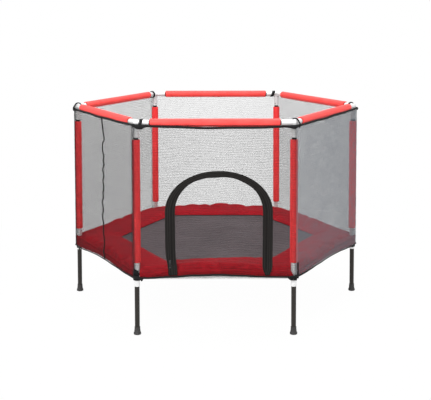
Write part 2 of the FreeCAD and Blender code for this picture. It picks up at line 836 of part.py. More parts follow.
# A flat-crowned arch as a closed sketch: two legs, two shoulder arcs and a crown arc
def arch_sketch(name, half, crown, foot):
    inset = "Sizes.shoulder_inset"
    shoulder = f"({half} - {inset})"
    rise = f"({crown} - {DOOR_SPRING} - {shoulder})"
    drop = f"({inset} ^ 2 - {rise} ^ 2) / (2 * {rise})"
    edge, base, level = worked_out(half), worked_out(foot), worked_out(DOOR_SPRING)
    right = Vector(size("shoulder_inset"), level, 0)
    left = Vector(-size("shoulder_inset"), level, 0)
    low = Vector(0, level - worked_out(drop), 0)
    lean = math.atan2(right.x, level - low.y)
    sketch = doc.addObject("Sketcher::SketchObject", name)
    sketch.Placement = Placement(Vector(size("door_centre"), 0, 0), Rotation(X_AXIS, 90))

    def arc(centre, radius, first, last):
        circle = Part.Circle(centre, UP, radius)
        return Part.ArcOfCircle(circle, math.pi / 2 + first, math.pi / 2 + last)

    sketch.addGeometry([
        Part.LineSegment(Vector(-edge, base, 0), Vector(edge, base, 0)),
        Part.LineSegment(Vector(edge, base, 0), Vector(edge, level, 0)),
        arc(right, worked_out(shoulder), -math.pi / 2, -lean),
        arc(low, worked_out(crown) - low.y, -lean, lean),
        arc(left, worked_out(shoulder), lean, math.pi / 2),
        Part.LineSegment(Vector(-edge, level, 0), Vector(-edge, base, 0)),
    ], False)
    for constraint in (
        ("Coincident", 0, 2, 1, 1),
        ("Tangent", 1, 2, 2, 1),
        ("Tangent", 2, 2, 3, 1),
        ("Tangent", 3, 2, 4, 1),
        ("Tangent", 4, 2, 5, 1),
        ("Coincident", 5, 2, 0, 1),
        ("Vertical", 1),
        ("Vertical", 5),
    ):
        sketch.addConstraint(Sketcher.Constraint(*constraint))
    fix_point(sketch, 0, 1, f"-{half}", foot, Vector(-edge, base, 0))
    fix_point(sketch, 0, 2, half, foot, Vector(edge, base, 0))
    fix_point(sketch, 2, 3, inset, DOOR_SPRING, right)
    fix_point(sketch, 4, 3, f"-{inset}", DOOR_SPRING, left)
    index = sketch.addConstraint(Sketcher.Constraint("DistanceY", -1, 1, 3, 3, low.y))
    sketch.setExpression(f"Constraints[{index}]", f"{DOOR_SPRING} - {drop}")
    return sketch


def arch_prism(name, outline, gap="0"):
    half, crown = outline
    item = doc.addObject("Part::Extrusion", name)
    item.Base = arch_sketch(
        name + "_arch", f"({half} - {gap})", f"({crown} - {gap})", f"({DOOR_FOOT} + {gap})",
    )
    item.DirMode = "Custom"
    item.Dir = Vector(0, -1, 0)
    item.setExpression("LengthFwd", "2 * Sizes.corner_radius")
    item.Solid = True
    return item


def make_door(front_sheet):
    tape_shell = lean_shell(
        "tape_shell", NET_FACE, NET_FACE + " + Sizes.tape_thickness",
        f"({DOOR_FOOT} - {MARGIN})", f"({DOOR_CROWN} + {MARGIN})",
    )
    tape_sheet = common("tape_sheet", tape_shell, sector("tape_sector", 60 * FRONT + 30))
    opening = arch_prism("door_opening", PARTING)
    outer_edge = arch_prism("band_outer_edge", BAND)
    leaf = arch_prism("door_leaf", PARTING, "Sizes.door_gap")
    inner_edge = arch_prism("band_inner_edge", INNER)
    node(cut("net_front", front_sheet, opening), "net_front")
    node(common("door_flap", front_sheet, leaf), "door_flap")
    node(cut("zip_tape", common("zip_band", tape_sheet, outer_edge), opening), "zip_tape")
    node(cut("flap_tape", common("flap_band", tape_sheet, leaf), inner_edge), "flap_tape")


# Zip slider and pull, in the front plane's own frame

def slider_place():
    x = size("door_centre") - size("door_half") + size("slider_inset")
    face = worked_out(NET_FACE) + size("tape_thickness") + size("seat_gap")
    return on_front(x, worked_out(DOOR_FOOT) + size("slider_rise"), face)


def make_slider():
    body = doc.addObject("PartDesign::Body", "slider_plate")
    sketch = sketch_on(body, "XZ_Plane", "slider_outline")
    add_outline(sketch, [
        ("-Sizes.slider_foot / 2", "0"),
        ("Sizes.slider_foot / 2", "0"),
        ("Sizes.slider_width / 2", "Sizes.slider_shoulder"),
        ("Sizes.slider_brow / 2", "Sizes.slider_length"),
        ("-Sizes.slider_brow / 2", "Sizes.slider_length"),
        ("-Sizes.slider_width / 2", "Sizes.slider_shoulder"),
    ])
    pad(body, sketch, "Sizes.slider_plate")
    parts = [body]
    front = -size("slider_plate") - size("ear_reach")
    level = size("pin_level") - size("ear_length") / 2
    for name, x in (
        ("slider_ear_a", size("ear_spread") - size("ear_width") / 2),
        ("slider_ear_b", -size("ear_spread") - size("ear_width") / 2),
    ):
        parts.append(box(
            name, "Sizes.ear_width", "Sizes.ear_reach", "Sizes.ear_length",
            Placement(Vector(x, front, level), Rotation()),
        ))
    parts.append(prism(
        "slider_pin", "Sizes.pin_outer / 2", "2 * Sizes.ear_spread", pin_place(-size("ear_spread")),
        BORE_SIDES,
    ))
    item = fuse("zip_slider", *parts)
    item.Placement = slider_place()
    return node(item, "zip_slider")


def pin_place(x):
    depth = -size("slider_plate") - size("pin_stand")
    return Placement(Vector(x, depth, size("pin_level")), Rotation(Y_AXIS, 90))


# The pull hangs from the pin: an eye, a neck and a tab with cut corners and a slot
def make_pull():
    eye = prism(
        "pull_eye", "Sizes.eye_outer / 2", "Sizes.eye_width", pin_place(-size("eye_width") / 2),
        BORE_SIDES,
    )
    body = doc.addObject("PartDesign::Body", "pull_tab")
    sketch = sketch_on(body, "XZ_Plane", "pull_outline")
    neck = "Sizes.eye_width / 2"
    half = "Sizes.pull_width / 2"
    level = "Sizes.pin_level"
    root = f"{level} - Sizes.pull_neck"
    end = f"{root} - Sizes.pull_length"
    corner = "Sizes.pull_corner"
    outline = [
        (neck, level),
        (neck, root),
        (half, f"{root} - {corner}"),
        (half, f"{end} + {corner}"),
        (f"{half} - {corner}", end),
    ]
    mirrored = [(f"-({x})", y) for x, y in reversed(outline)]
    add_outline(sketch, list(reversed(outline + mirrored)))
    tab = pad(body, sketch, "Sizes.pull_thickness", midplane=True)
    doc.recompute()
    slot = sketch_on(body, "XZ_Plane", "pull_slot_outline")
    side = "Sizes.pull_slot / 2"
    low = f"{end} + Sizes.pull_slot_margin"
    high = f"{root} - Sizes.pull_slot_margin"
    add_outline(slot, [(f"-{side}", low), (side, low), (side, high), (f"-{side}", high)])
    pocket = body.newObject("PartDesign::Pocket", "pull_slot")
    pocket.Profile = slot
    pocket.Midplane = True
    pocket.setExpression("Length", "2 * Sizes.pull_thickness")
    cuts.append((pocket, tab))
    body.Placement = Placement(
        Vector(0, -size("slider_plate") - size("pin_stand"), 0), Rotation(),
    )
    bore = prism(
        "pull_bore", "Sizes.pin_outer / 2 + Sizes.pin_clearance", "Sizes.pull_width",
        pin_place(-size("pull_width") / 2), BORE_SIDES, around=True,
    )
    item = cut("zip_pull", fuse("pull_solid", eye, body), bore)
    item.Placement = slider_place()
    return node(item, "zip_pull")


# Elastic ties

BAND_MIDDLE = size("tube_outer") / 2 + size("tie_gap") + size("tie_thickness") / 2
HEM_FACE = worked_out(NET_FACE) + size("hem_thickness")


# A band round a tube, and a strap from it out to the hem
def make_tie(name, band_frame, strap_frame, strap_length, strap_depth):
    inner = "Sizes.tube_outer / 2 + Sizes.tie_gap"
    outer = inner + " + Sizes.tie_thickness"
    band = cut(
        name + "_band",
        prism(name + "_outer", outer, "Sizes.tie_width", band_frame, SMALL_SIDES, around=True),
        prism(name + "_inner", inner, "Sizes.tie_width", band_frame, SMALL_SIDES, around=True),
    )
    strap = box(name + "_strap", strap_length, "Sizes.tie_width", strap_depth, strap_frame)
    return fuse(name, band, strap)


def make_top_ties():
    ties = []
    level = worked_out(NET_TOP) + size("seat_gap")
    drop = RING_HEIGHT - level
    start = math.sqrt(BAND_MIDDLE**2 - drop**2)
    front = HEM_FACE + drop * math.tan(math.radians(PANEL_TILT))
    ring = RING_RADIUS * math.cos(math.pi / 6)
    along = size("tie_stand") - RING_RADIUS / 2
    for side, place in enumerate(SIDES):
        ties.append(make_tie(
            "top_tie_" + place,
            on_rail(side, size("tie_stand")),
            on_side(side, ring + start, along, level),
            front - start, "Sizes.tie_strap",
        ))
    return node(group("top_ties", ties), "top_ties")


# The band lies under the frame tubes, and its strap rises to the underside of the hem
def make_foot_ties():
    ties = []
    drop = size("tube_outer") / 2 + size("seat_gap")
    reach = HEM_FACE / math.cos(math.pi / 6)
    below_hem = size("seat_gap") + reach * math.tan(math.radians(size("lean")))
    rise = drop + size("tie_strap") - size("net_drop") - below_hem
    for corner, place in enumerate(CORNERS):
        strap = Vector(BAND_MIDDLE, -size("tie_width") / 2, -drop - size("tie_strap"))
        ties.append(make_tie(
            "foot_tie_" + place,
            on_post(corner, -drop - size("tie_width")),
            on_post(corner) * Placement(strap, Rotation()),
            reach - BAND_MIDDLE, rise,
        ))
    return node(group("foot_ties", ties), "foot_ties")


# Assembly

for corner in range(6):
    make_leg(corner)
    make_frame_corner(corner)
    make_pole(corner)
    make_pole_sleeve(corner)
    make_tee(corner)
for side in range(6):
    make_frame_tube(side)
    make_rail_sleeve(side)
make_feet()
make_buttons()
make_rails()
make_mat()
around_mat("springs", make_spring())
around_mat("mat_rings", make_ring())
make_pad()
make_skirt()
panels = make_net()
node(group("net_wall", [panel for side, panel in enumerate(panels) if side != FRONT]), "net_wall")
make_hems()
make_door(panels[FRONT])
make_slider()
make_pull()
make_top_ties()
make_foot_ties()
doc.recompute()

# Checks before anything is written
for item in doc.Objects:
    if "Invalid" in item.State or "Error" in item.State:
        raise RuntimeError(f"{item.Name} failed: {item.State}")
for result, base in cuts:
    if result.Shape.Volume >= base.Shape.Volume:
        raise RuntimeError(f"{result.Name} removes nothing")
for piece in nodes:
    if piece.Shape.isNull() or not piece.Shape.isValid() or not piece.Shape.Solids:
        raise RuntimeError(f"{piece.Label} has no valid solid")

for piece in nodes:
    piece.Shape.exportStep(f"parts/{piece.Label}.step")
    print(f"{piece.Label}: {len(piece.Shape.Solids)} solids, {piece.Shape.Volume / 1000:.1f} cm3")
print(f"{len(nodes)} nodes")
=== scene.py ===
import json
import math

import bmesh
import bpy
from mathutils import Matrix, Vector, geometry, noise

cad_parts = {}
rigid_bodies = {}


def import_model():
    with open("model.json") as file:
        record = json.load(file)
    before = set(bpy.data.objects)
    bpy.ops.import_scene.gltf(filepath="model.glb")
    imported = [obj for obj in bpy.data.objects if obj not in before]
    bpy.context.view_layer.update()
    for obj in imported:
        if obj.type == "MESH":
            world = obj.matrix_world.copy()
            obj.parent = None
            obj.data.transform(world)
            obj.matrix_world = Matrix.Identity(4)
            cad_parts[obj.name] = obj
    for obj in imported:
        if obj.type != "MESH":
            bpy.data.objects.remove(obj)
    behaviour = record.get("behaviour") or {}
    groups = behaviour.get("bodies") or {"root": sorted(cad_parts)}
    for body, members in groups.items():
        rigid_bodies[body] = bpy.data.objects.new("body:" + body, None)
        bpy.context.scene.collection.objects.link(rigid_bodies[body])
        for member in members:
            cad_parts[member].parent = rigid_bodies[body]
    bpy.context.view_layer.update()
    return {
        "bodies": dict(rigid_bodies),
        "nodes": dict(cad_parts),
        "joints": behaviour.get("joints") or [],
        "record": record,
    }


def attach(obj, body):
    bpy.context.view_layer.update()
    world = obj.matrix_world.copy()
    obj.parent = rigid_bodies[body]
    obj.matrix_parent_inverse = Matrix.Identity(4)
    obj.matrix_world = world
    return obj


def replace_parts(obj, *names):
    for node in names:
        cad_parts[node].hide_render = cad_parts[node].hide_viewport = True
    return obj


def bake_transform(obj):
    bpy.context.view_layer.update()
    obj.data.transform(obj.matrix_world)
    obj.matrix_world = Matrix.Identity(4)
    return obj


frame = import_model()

# A hexagonal trampoline with a net enclosure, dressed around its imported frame.
# Metres, +Z up, origin on the floor under the centre of the mat,
# corners at 0, 60, 120, ... degrees, the doorway in the side that faces -Y.

bpy.context.scene.view_settings.view_transform = "Standard"

# Frame, as the construction has it
CORNER_RADIUS = 0.691
SIDE_LENGTH = CORNER_RADIUS
FRAME_HEIGHT = 0.268
LEAN = math.radians(1.415)
POST_REACH = 0.679
SOCKET_RISE = 0.064
TUBE_RADIUS = 0.0127
FOAM_RADIUS = 0.0175
FOAM_BORE = 0.0113
TEE_DROP = 0.063
TEE_STUB = 0.055
RAIL_REVEAL = 0.005
BARE_POLE = 0.009
NET_OFFSET = 0.018
NET_THICKNESS = 0.001
MAT_RADIUS = 0.554
MAT_TOP = 0.290
MAT_THICKNESS = 0.002
RING_RADIUS = CORNER_RADIUS - POST_REACH * math.sin(LEAN)
RING_HEIGHT = FRAME_HEIGHT + POST_REACH * math.cos(LEAN)

COS_30 = math.cos(math.pi / 6)
UP = Vector((0, 0, 1))

CORNERS = ["right", "back_right", "back_left", "left", "front_left", "front_right"]
SIDES = ["right_back", "back", "left_back", "left_front", "front", "right_front"]
FRONT = SIDES.index("front")
SEAM_SIDE = SIDES.index("left_front")

# Heights of the net's and the skirt's lower edge and of the pad's ridge, at each corner and mid-side
EDGE_AT_CORNER = [0.248, 0.262, 0.262, 0.243, 0.262, 0.266]
EDGE_AT_MIDDLE = [0.262, 0.270, 0.262, 0.266, 0.276, 0.269]
RIDGE_AT_CORNER = [0.296, 0.297, 0.297, 0.296, 0.298, 0.298]
RIDGE_AT_MIDDLE = [0.312, 0.318, 0.310, 0.308, 0.320, 0.311]
TOP_AT_CORNER = [0.9425, 0.9425, 0.9425, 0.9425, 0.9450, 0.9405]
TOP_SAG = [0.006, 0.005, 0.006, 0.005, 0.011, 0.003]


# Shader nodes; "tree" is the node tree that they are added to

# The finish of each material slot
FINISHES = {}


# A new finish; gives its empty node tree
def new_finish(slot):
    material = bpy.data.materials.new(slot)
    material.use_nodes = True
    material.node_tree.nodes.clear()
    FINISHES[slot] = material
    return material.node_tree


# Adds a node; each input is a value or the socket that feeds it, by name or by number
def add(tree, kind, inputs=None, **settings):
    item = tree.nodes.new("ShaderNode" + kind)
    for name, value in settings.items():
        setattr(item, name, value)
    for name, value in (inputs or {}).items():
        if isinstance(value, bpy.types.NodeSocket):
            tree.links.new(value, item.inputs[name])
        else:
            item.inputs[name].default_value = value
    return item


def maths(tree, operation, *values):
    return add(tree, "Math", dict(enumerate(values)), operation=operation).outputs[0]


def blend_colours(tree, factor, first, second):
    item = add(tree, "Mix", {0: factor, 6: first, 7: second}, data_type="RGBA")
    return item.outputs[2]


def span(tree, value, low, high, to_low=0.0, to_high=1.0):
    inputs = {"Value": value, "From Min": low, "From Max": high, "To Min": to_low, "To Max": to_high}
    return add(tree, "MapRange", inputs).outputs[0]


# Colours laid over a first one: each with the value that brings it in, from where to where, and its most
def coats(tree, shade, *layers):
    for value, low, high, most, tone in layers:
        shade = blend_colours(tree, span(tree, value, low, high, 0.0, most), shade, tone)
    return shade


def speckle(tree, place, scale, detail=3.0, rough=0.5):
    inputs = {"Vector": place, "Scale": scale, "Detail": detail, "Roughness": rough}
    return add(tree, "TexNoise", inputs).outputs[0]


def place_of(tree, scale=(1, 1, 1)):
    place = add(tree, "TexCoord").outputs["Object"]
    return add(tree, "Mapping", {"Vector": place, "Scale": scale}).outputs[0]


def strands(tree, scale=(1, 1, 1)):
    place = add(tree, "UVMap", uv_map="UVMap").outputs[0]
    return add(tree, "Mapping", {"Vector": place, "Scale": scale}).outputs[0]


# The flat sheet's two directions, in metres
def strand_axes(tree):
    return add(tree, "SeparateXYZ", {"Vector": strands(tree)}).outputs[:2]


def bump(tree, height, strength, distance):
    inputs = {"Height": height, "Strength": strength, "Distance": distance}
    return add(tree, "Bump", inputs).outputs[0]


# Ripples along a value in metres, a pitch from crest to crest
def ripples(tree, value, pitch):
    return maths(tree, "SINE", maths(tree, "MULTIPLY", value, 2 * math.pi / pitch))


def finish_surface(tree, inputs):
    shader = add(tree, "BsdfPrincipled", inputs)
    add(tree, "OutputMaterial", {"Surface": shader.outputs[0]})


def colour(red, green, blue):
    return (red, green, blue, 1.0)


def scaled(tone, share):
    return colour(*(share * part for part in tone))


# Materials

# Black stove-enamel tube: fine orange peel, faint dust
def make_paint(name, tone, rough):
    tree = new_finish(name)
    place = place_of(tree)
    peel = speckle(tree, place, 900, 2)
    cloud = speckle(tree, place, 14, 4, 0.6)
    shade = coats(tree, colour(*tone), (cloud, 0.35, 0.7, 1.0, scaled(tone, 1.35)))
    gloss = span(tree, cloud, 0.3, 0.7, rough - 0.06, rough + 0.08)
    finish_surface(tree, {
        "Base Color": shade, "Roughness": gloss, "Specular IOR Level": 0.3,
        "Normal": bump(tree, peel, 0.12, 0.0004),
    })


# Zinc-grey lacquered steel with light drawing marks along the tube
def make_steel(name, tone, metal, rough):
    tree = new_finish(name)
    cloud = speckle(tree, place_of(tree), 22, 4, 0.65)
    grain = speckle(tree, place_of(tree, (1, 1, 0.08)), 700, 2)
    shade = coats(tree, scaled(tone, 0.86), (cloud, 0.3, 0.7, 1.0, colour(*tone)))
    gloss = span(tree, grain, 0.3, 0.7, rough - 0.06, rough + 0.10)
    finish_surface(tree, {
        "Base Color": shade, "Roughness": gloss, "Metallic": metal,
        "Normal": bump(tree, grain, 0.08, 0.0003),
    })


# Moulded rubber with a dull grain
def make_rubber():
    tree = new_finish("foot_rubber")
    place = place_of(tree)
    grain = speckle(tree, place, 1400, 2)
    cloud = speckle(tree, place, 40, 3)
    shade = blend_colours(tree, cloud, colour(0.020, 0.019, 0.019), colour(0.045, 0.043, 0.042))
    finish_surface(tree, {
        "Base Color": shade, "Roughness": 0.62, "Specular IOR Level": 0.4,
        "Normal": bump(tree, grain, 0.25, 0.0004),
    })


# Closed-cell foam: fine cells under a thin skin, faint long streaks from the extruder
def make_foam(name, tone):
    tree = new_finish(name)
    cells = add(tree, "TexVoronoi", {"Vector": place_of(tree), "Scale": 620.0}).outputs["Distance"]
    streaks = speckle(tree, strands(tree, (60, 4, 1)), 3.0, 3)
    cloud = speckle(tree, place_of(tree), 26, 3, 0.6)
    deep = colour(tone[0] * 0.86, tone[1] * 0.62, tone[2] * 0.66)
    shade = blend_colours(tree, span(tree, cloud, 0.3, 0.7, 0.15, 0.95), deep, colour(*tone))
    shade = coats(tree, shade, (streaks, 0.42, 0.72, 0.22, colour(1, 0.16, 0.14)))
    height = maths(tree, "ADD", maths(tree, "MULTIPLY", cells, 0.5), streaks)
    finish_surface(tree, {
        "Base Color": shade, "Roughness": span(tree, cloud, 0.3, 0.7, 0.42, 0.56),
        "Specular IOR Level": 0.2, "Normal": bump(tree, height, 0.18, 0.0006),
    })


# Height of the threads of a square weave, along the flat sheet
def weave(tree, pitch):
    return maths(tree, "MULTIPLY", *(ripples(tree, axis, pitch) for axis in strand_axes(tree)))


# Coated crimson cover cloth: fine weave, soft creases, and a painted highlight along its ridges
def make_cover():
    tree = new_finish("pad_cover")
    threads = weave(tree, 0.0011)
    cloud = speckle(tree, place_of(tree), 7, 5, 0.62)
    creases = speckle(tree, place_of(tree, (1, 1, 1.8)), 34, 4, 0.6)
    edges = add(tree, "NewGeometry").outputs["Pointiness"]
    # The pale colour where the cloth is most pointed is a painted highlight along the ridges
    shade = coats(
        tree, colour(0.238, 0.0030, 0.0078), (cloud, 0.3, 0.72, 1.0, colour(0.355, 0.0052, 0.0125)),
        (edges, 0.5, 0.56, 0.35, colour(0.60, 0.018, 0.026)),
    )
    height = maths(tree, "ADD", maths(tree, "MULTIPLY", threads, 0.05), creases)
    finish_surface(tree, {
        "Base Color": shade, "Roughness": span(tree, cloud, 0.3, 0.7, 0.62, 0.78),
        "Specular IOR Level": 0.05, "Sheen Weight": 0.02, "Sheen Roughness": 0.4,
        "Normal": bump(tree, height, 0.35, 0.002),
    })


# Woven polypropylene mat: flat yarns both ways, with painted shade in the pin holes between them
def make_mat_weave():
    tree = new_finish("mat_weave")
    threads = weave(tree, 0.0016)
    rows = speckle(tree, strands(tree, (3, 210, 1)), 1.0, 2)
    cloud = speckle(tree, place_of(tree), 5, 4, 0.6)
    shade = coats(
        tree, colour(0.067, 0.052, 0.057), (cloud, 0.3, 0.7, 1.0, colour(0.101, 0.081, 0.087)),
        (rows, 0.45, 0.75, 0.4, colour(0.17, 0.14, 0.15)),
        # Dark where the yarns part: painted shade in the pin holes
        (threads, -0.2, -0.9, 0.5, colour(0.03, 0.025, 0.027)),
    )
    finish_surface(tree, {
        "Base Color": shade, "Roughness": 0.72, "Specular IOR Level": 0.15,
        "Sheen Weight": 0.04, "Normal": bump(tree, threads, 0.4, 0.0005),
    })


# The net has fine upright threads and fine courses across them, with heavier courses further apart.
# By side: how wide the uprights and the heavy courses are as a share of NET_PITCH, how far apart the
# heavy ones are, how far they sway, how much the uprights bunch up near the posts, and how far a painted
# sheen from the light on the right greys them
NET_PITCH = 0.0018
NET_COURSE = 0.016
UPRIGHT_WIDTHS = [0.150, 0.090, 0.134, 0.146, 0.132, 0.285]
COURSE_WIDTHS = [0.30, 0.10, 0.30, 0.30, 0.12, 0.32]
COURSE_HEIGHTS = [0.0088, 0.0104, 0.0088, 0.0086, 0.0104, 0.0086]
COURSE_SWAYS = [0.12, 0.45, 0.12, 0.12, 0.45, 0.12]
BUNCHES = [1.0, 1.4, 2.6, 3.0, 1.5, 1.0]
PAINTED_SHEEN_SHARES = [0.35, 0.0, 0.0, 0.0, 0.0, 1.0]


# A value given for each side, by the place along the net
def by_side(tree, along, values):
    total = values[0]
    for side in range(1, 6):
        past = maths(tree, "GREATER_THAN", along, side * SIDE_LENGTH)
        total = maths(tree, "MULTIPLY_ADD", past, values[side] - values[side - 1], total)
    return total


# Knitted black netting: upright threads joined by finer ones, with heavier courses that wander
def make_net():
    tree = new_finish("net_mesh")
    x, y = strand_axes(tree)

    def wander(scale, detail, low, high, to_low, to_high):
        return span(tree, speckle(tree, strands(tree, scale), 1.0, detail), low, high, to_low, to_high)

    def per_side(values):
        return by_side(tree, x, values)

    stray = wander((9, 24, 1), 3, 0.3, 0.7, -0.0009, 0.0009)
    sway = wander((3.6, 2.6, 1), 2, 0.3, 0.7, -0.030, 0.030)
    sway = maths(tree, "MULTIPLY", sway, per_side(COURSE_SWAYS))
    patches = wander((17, 60, 1), 2, 0.38, 0.62, 0.60, 1.0)
    rate = per_side([2 * math.pi / height for height in COURSE_HEIGHTS])
    beat = maths(tree, "COSINE", maths(tree, "MULTIPLY", maths(tree, "ADD", y, sway), rate))
    course = maths(tree, "MULTIPLY", per_side(COURSE_WIDTHS), patches)
    heavy = maths(tree, "MULTIPLY", span(tree, beat, 0.1, 1.0), course)
    share = maths(tree, "FRACT", maths(tree, "DIVIDE", x, SIDE_LENGTH))
    near = maths(tree, "MINIMUM", share, maths(tree, "SUBTRACT", 1.0, share))
    bunched = span(tree, span(tree, near, 0.05, 0.02), 0.0, 1.0, 1.0, per_side(BUNCHES))
    upright = maths(tree, "MULTIPLY", per_side(UPRIGHT_WIDTHS), bunched)
    lines = []
    for way, width in ((x, upright), (y, maths(tree, "ADD", heavy, NET_COURSE))):
        count = maths(tree, "DIVIDE", maths(tree, "ADD", way, stray), NET_PITCH)
        lines.append(maths(tree, "LESS_THAN", maths(tree, "FRACT", count), width))
    # Pale grey threads on the right-hand sides are a painted sheen from the light on that side
    black, sheen_grey = colour(0.022, 0.022, 0.024), colour(0.172, 0.190, 0.214)
    finish_surface(tree, {
        "Base Color": blend_colours(tree, per_side(PAINTED_SHEEN_SHARES), black, sheen_grey),
        "Roughness": 0.8, "Specular IOR Level": 0.0, "Alpha": maths(tree, "MAXIMUM", *lines),
    })


# Ribbon and elastic: ribs along the band, and for the zip wide bands of painted sheen on its ridges and
# painted shade in its grooves
def make_ribbed(name, tone, ribs, rough, painted_sheen_pitch=0.0):
    tree = new_finish(name)
    across = strand_axes(tree)[0]
    fuzz = speckle(tree, place_of(tree), 300, 3)
    shade = coats(tree, colour(*tone), (fuzz, 0.35, 0.75, 1.0, scaled(tone, 2.1)))
    # Pale bands across the zip tape are painted sheen on its ridges, and the dark between them is painted
    # shade in its grooves
    if painted_sheen_pitch:
        wide = ripples(tree, across, painted_sheen_pitch)
        shade = coats(tree, shade, (wide, 0.1, 0.9, 0.75, colour(0.026, 0.024, 0.022)))
    height = maths(tree, "ADD", maths(tree, "MULTIPLY", ripples(tree, across, ribs), 0.5), fuzz)
    finish_surface(tree, {
        "Base Color": shade, "Roughness": rough, "Specular IOR Level": 0.1,
        "Sheen Weight": 0.02, "Sheen Roughness": 0.5, "Normal": bump(tree, height, 0.4, 0.0008),
    })


make_paint("leg_paint", (0.016, 0.0135, 0.011), 0.42)
make_paint("pole_paint", (0.010, 0.010, 0.010), 0.30)
make_steel("silver_steel", (0.80, 0.80, 0.80), 0.35, 0.38)
make_steel("button_steel", (0.42, 0.42, 0.43), 0.9, 0.30)
make_steel("spring_steel", (0.55, 0.55, 0.56), 0.95, 0.28)
make_rubber()
# Rail and pole sleeves are the same foam: the rails' brighter tone is painted light, the poles' darker,
# deeper one painted shade
make_foam("rail_foam", (0.98, 0.085, 0.076))
make_foam("pole_foam", (0.92, 0.044, 0.048))
make_cover()
make_mat_weave()
make_net()
make_ribbed("black_binding", (0.009, 0.0085, 0.0085), 0.0016, 0.66)
make_ribbed("black_elastic", (0.008, 0.008, 0.0085), 0.0012, 0.6)
make_ribbed("zip_tape", (0.0062, 0.0054, 0.0051), 0.0014, 0.6, 0.0088)
make_steel("zip_metal", (0.05, 0.05, 0.05), 0.7, 0.32)


# Meshes

# A mesh piece from corner points, faces and a place on the flat cloth for each point
def make_piece(name, points, faces, slot, flat, body="frame"):
    shape = bmesh.new()
    layer = shape.loops.layers.uv.new("UVMap")
    corners = [shape.verts.new(point) for point in points]
    for face in faces:
        kept = {points[i].to_tuple(6): i for i in face}
        ring = [i for i in face if i in kept.values()]
        if len(ring) < 3:
            continue
        made = shape.faces.new([corners[i] for i in ring])
        made.smooth = True
        for loop, i in zip(made.loops, ring):
            loop[layer].uv = flat[i]
    bmesh.ops.remove_doubles(shape, verts=shape.verts, dist=1e-6)
    bmesh.ops.recalc_face_normals(shape, faces=shape.faces)
    data = bpy.data.meshes.new(name)
    shape.to_mesh(data)
    shape.free()
    data.materials.append(FINISHES[slot])
    piece = bpy.data.objects.new(name, data)
    bpy.context.scene.collection.objects.link(piece)
    if body:
        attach(piece, body)
    return piece


# Faces between the columns of a grid of points; in a ring, each column's last row meets its first
def grid_faces(columns, rows, ring=False, base=0):
    faces = []
    for i in range(columns - 1):
        for k in range(rows if ring else rows - 1):
            a, b = base + i * rows + k, base + i * rows + (k + 1) % rows
            faces.append((a, b, b + rows, a + rows))
    return faces


# Joins patches of flat points into one, where their points meet
class Flat:
    def __init__(self):
        self.points = []
        self.faces = []
        self.known = {}

    def index(self, point):
        key = (round(point[0], 5), round(point[1], 5))
        if key not in self.known:
            self.known[key] = len(self.points)
            self.points.append((point[0], point[1]))
        return self.known[key]

    def patch(self, points, faces):
        numbers = [self.index(point) for point in points]
        for face in faces:
            ring = list(dict.fromkeys(numbers[i] for i in face))
            if len(ring) > 2:
                self.faces.append(ring)

    def rim(self):
        uses = {}
        for face in self.faces:
            for a, b in zip(face, face[1:] + face[:1]):
                uses.setdefault(frozenset((a, b)), []).append((a, b))
        return [found[0] for found in uses.values() if len(found) == 1]


# Two skins a thickness apart, closed round the edge
def make_cloth(name, flat, place, low, high, slot, body="frame"):
    count = len(flat.points)
    points = [place(x, y, offset) for offset in (high, low) for x, y in flat.points]
    faces = [list(face) for face in flat.faces]
    faces += [[i + count for i in reversed(face)] for face in flat.faces]
    faces += [[a, a + count, b + count, b] for a, b in flat.rim()]
    return make_piece(name, points, faces, slot, flat.points * 2, body)


def steps(low, high, count):
    return [low + (high - low) * i / count for i in range(count + 1)]


# Smooth noise at a point of space, between about -1 and 1
def rumple(x, y, z):
    return noise.noise(Vector((x, y, z)))


def smooth_step(value, low, high):
    t = min(1.0, max(0.0, (value - low) / (high - low)))
    return t * t * (3 - 2 * t)


# Places round the hexagon: a turn of 6, whole at the corners, and an offset from the posts' lines

# The side that a turn lies on, and its share of that side
def on_side(turn):
    return math.floor(turn) % 6, turn - math.floor(turn)


def hexagon_radius(height):
    return CORNER_RADIUS - (height - FRAME_HEIGHT) * math.tan(LEAN)


def corner_at(corner, radius):
    angle = math.radians(60 * corner)
    return Vector((radius * math.cos(angle), radius * math.sin(angle), 0))


# A point on a side of a hexagon, by its share of the side
def side_at(side, share, radius):
    return corner_at(side, radius).lerp(corner_at(side + 1, radius), share)


def heading(angle):
    return Vector((math.cos(angle), math.sin(angle), 0))


def outward(side):
    return heading(math.radians(60 * side + 30))


# Share of a turn on each side of a corner over which a cloth rounds the post
CORNER_SHARE = 0.02


# A point of a cloth wall, which leans with the posts and rounds them
def wall_place(turn, height, offset, lean=True):
    radius = hexagon_radius(height) if lean else CORNER_RADIUS
    side, share = on_side(turn)
    near = min(share, 1 - share)
    if near < CORNER_SHARE:
        bend = math.copysign(30 * (1 - near / CORNER_SHARE), share - 0.5)
        base = corner_at(side + round(share), radius)
        way = heading(math.radians(60 * side + 30 + bend))
    else:
        run = (share - CORNER_SHARE) / (1 - 2 * CORNER_SHARE)
        base = side_at(side, run, radius)
        way = outward(side)
    return base + way * offset + UP * height


# A value given at the corners and mid-sides, eased between them
def around(turn, at_corner, at_middle):
    side, share = on_side(turn)
    if share < 0.5:
        first, second, ease = at_corner[side], at_middle[side], smooth_step(share, 0, 0.5)
    else:
        first, second, ease = at_middle[side], at_corner[(side + 1) % 6], smooth_step(share, 0.5, 1)
    return first + (second - first) * ease


# Smooth noise round the hexagon, which meets itself after six turns
def drift(turn, scale, level):
    angle = turn * math.pi / 3
    return rumple(scale * math.cos(angle), scale * math.sin(angle), level)


def edge_height(turn):
    return around(turn, EDGE_AT_CORNER, EDGE_AT_MIDDLE) + 0.0022 * drift(turn, 9, 0.7)


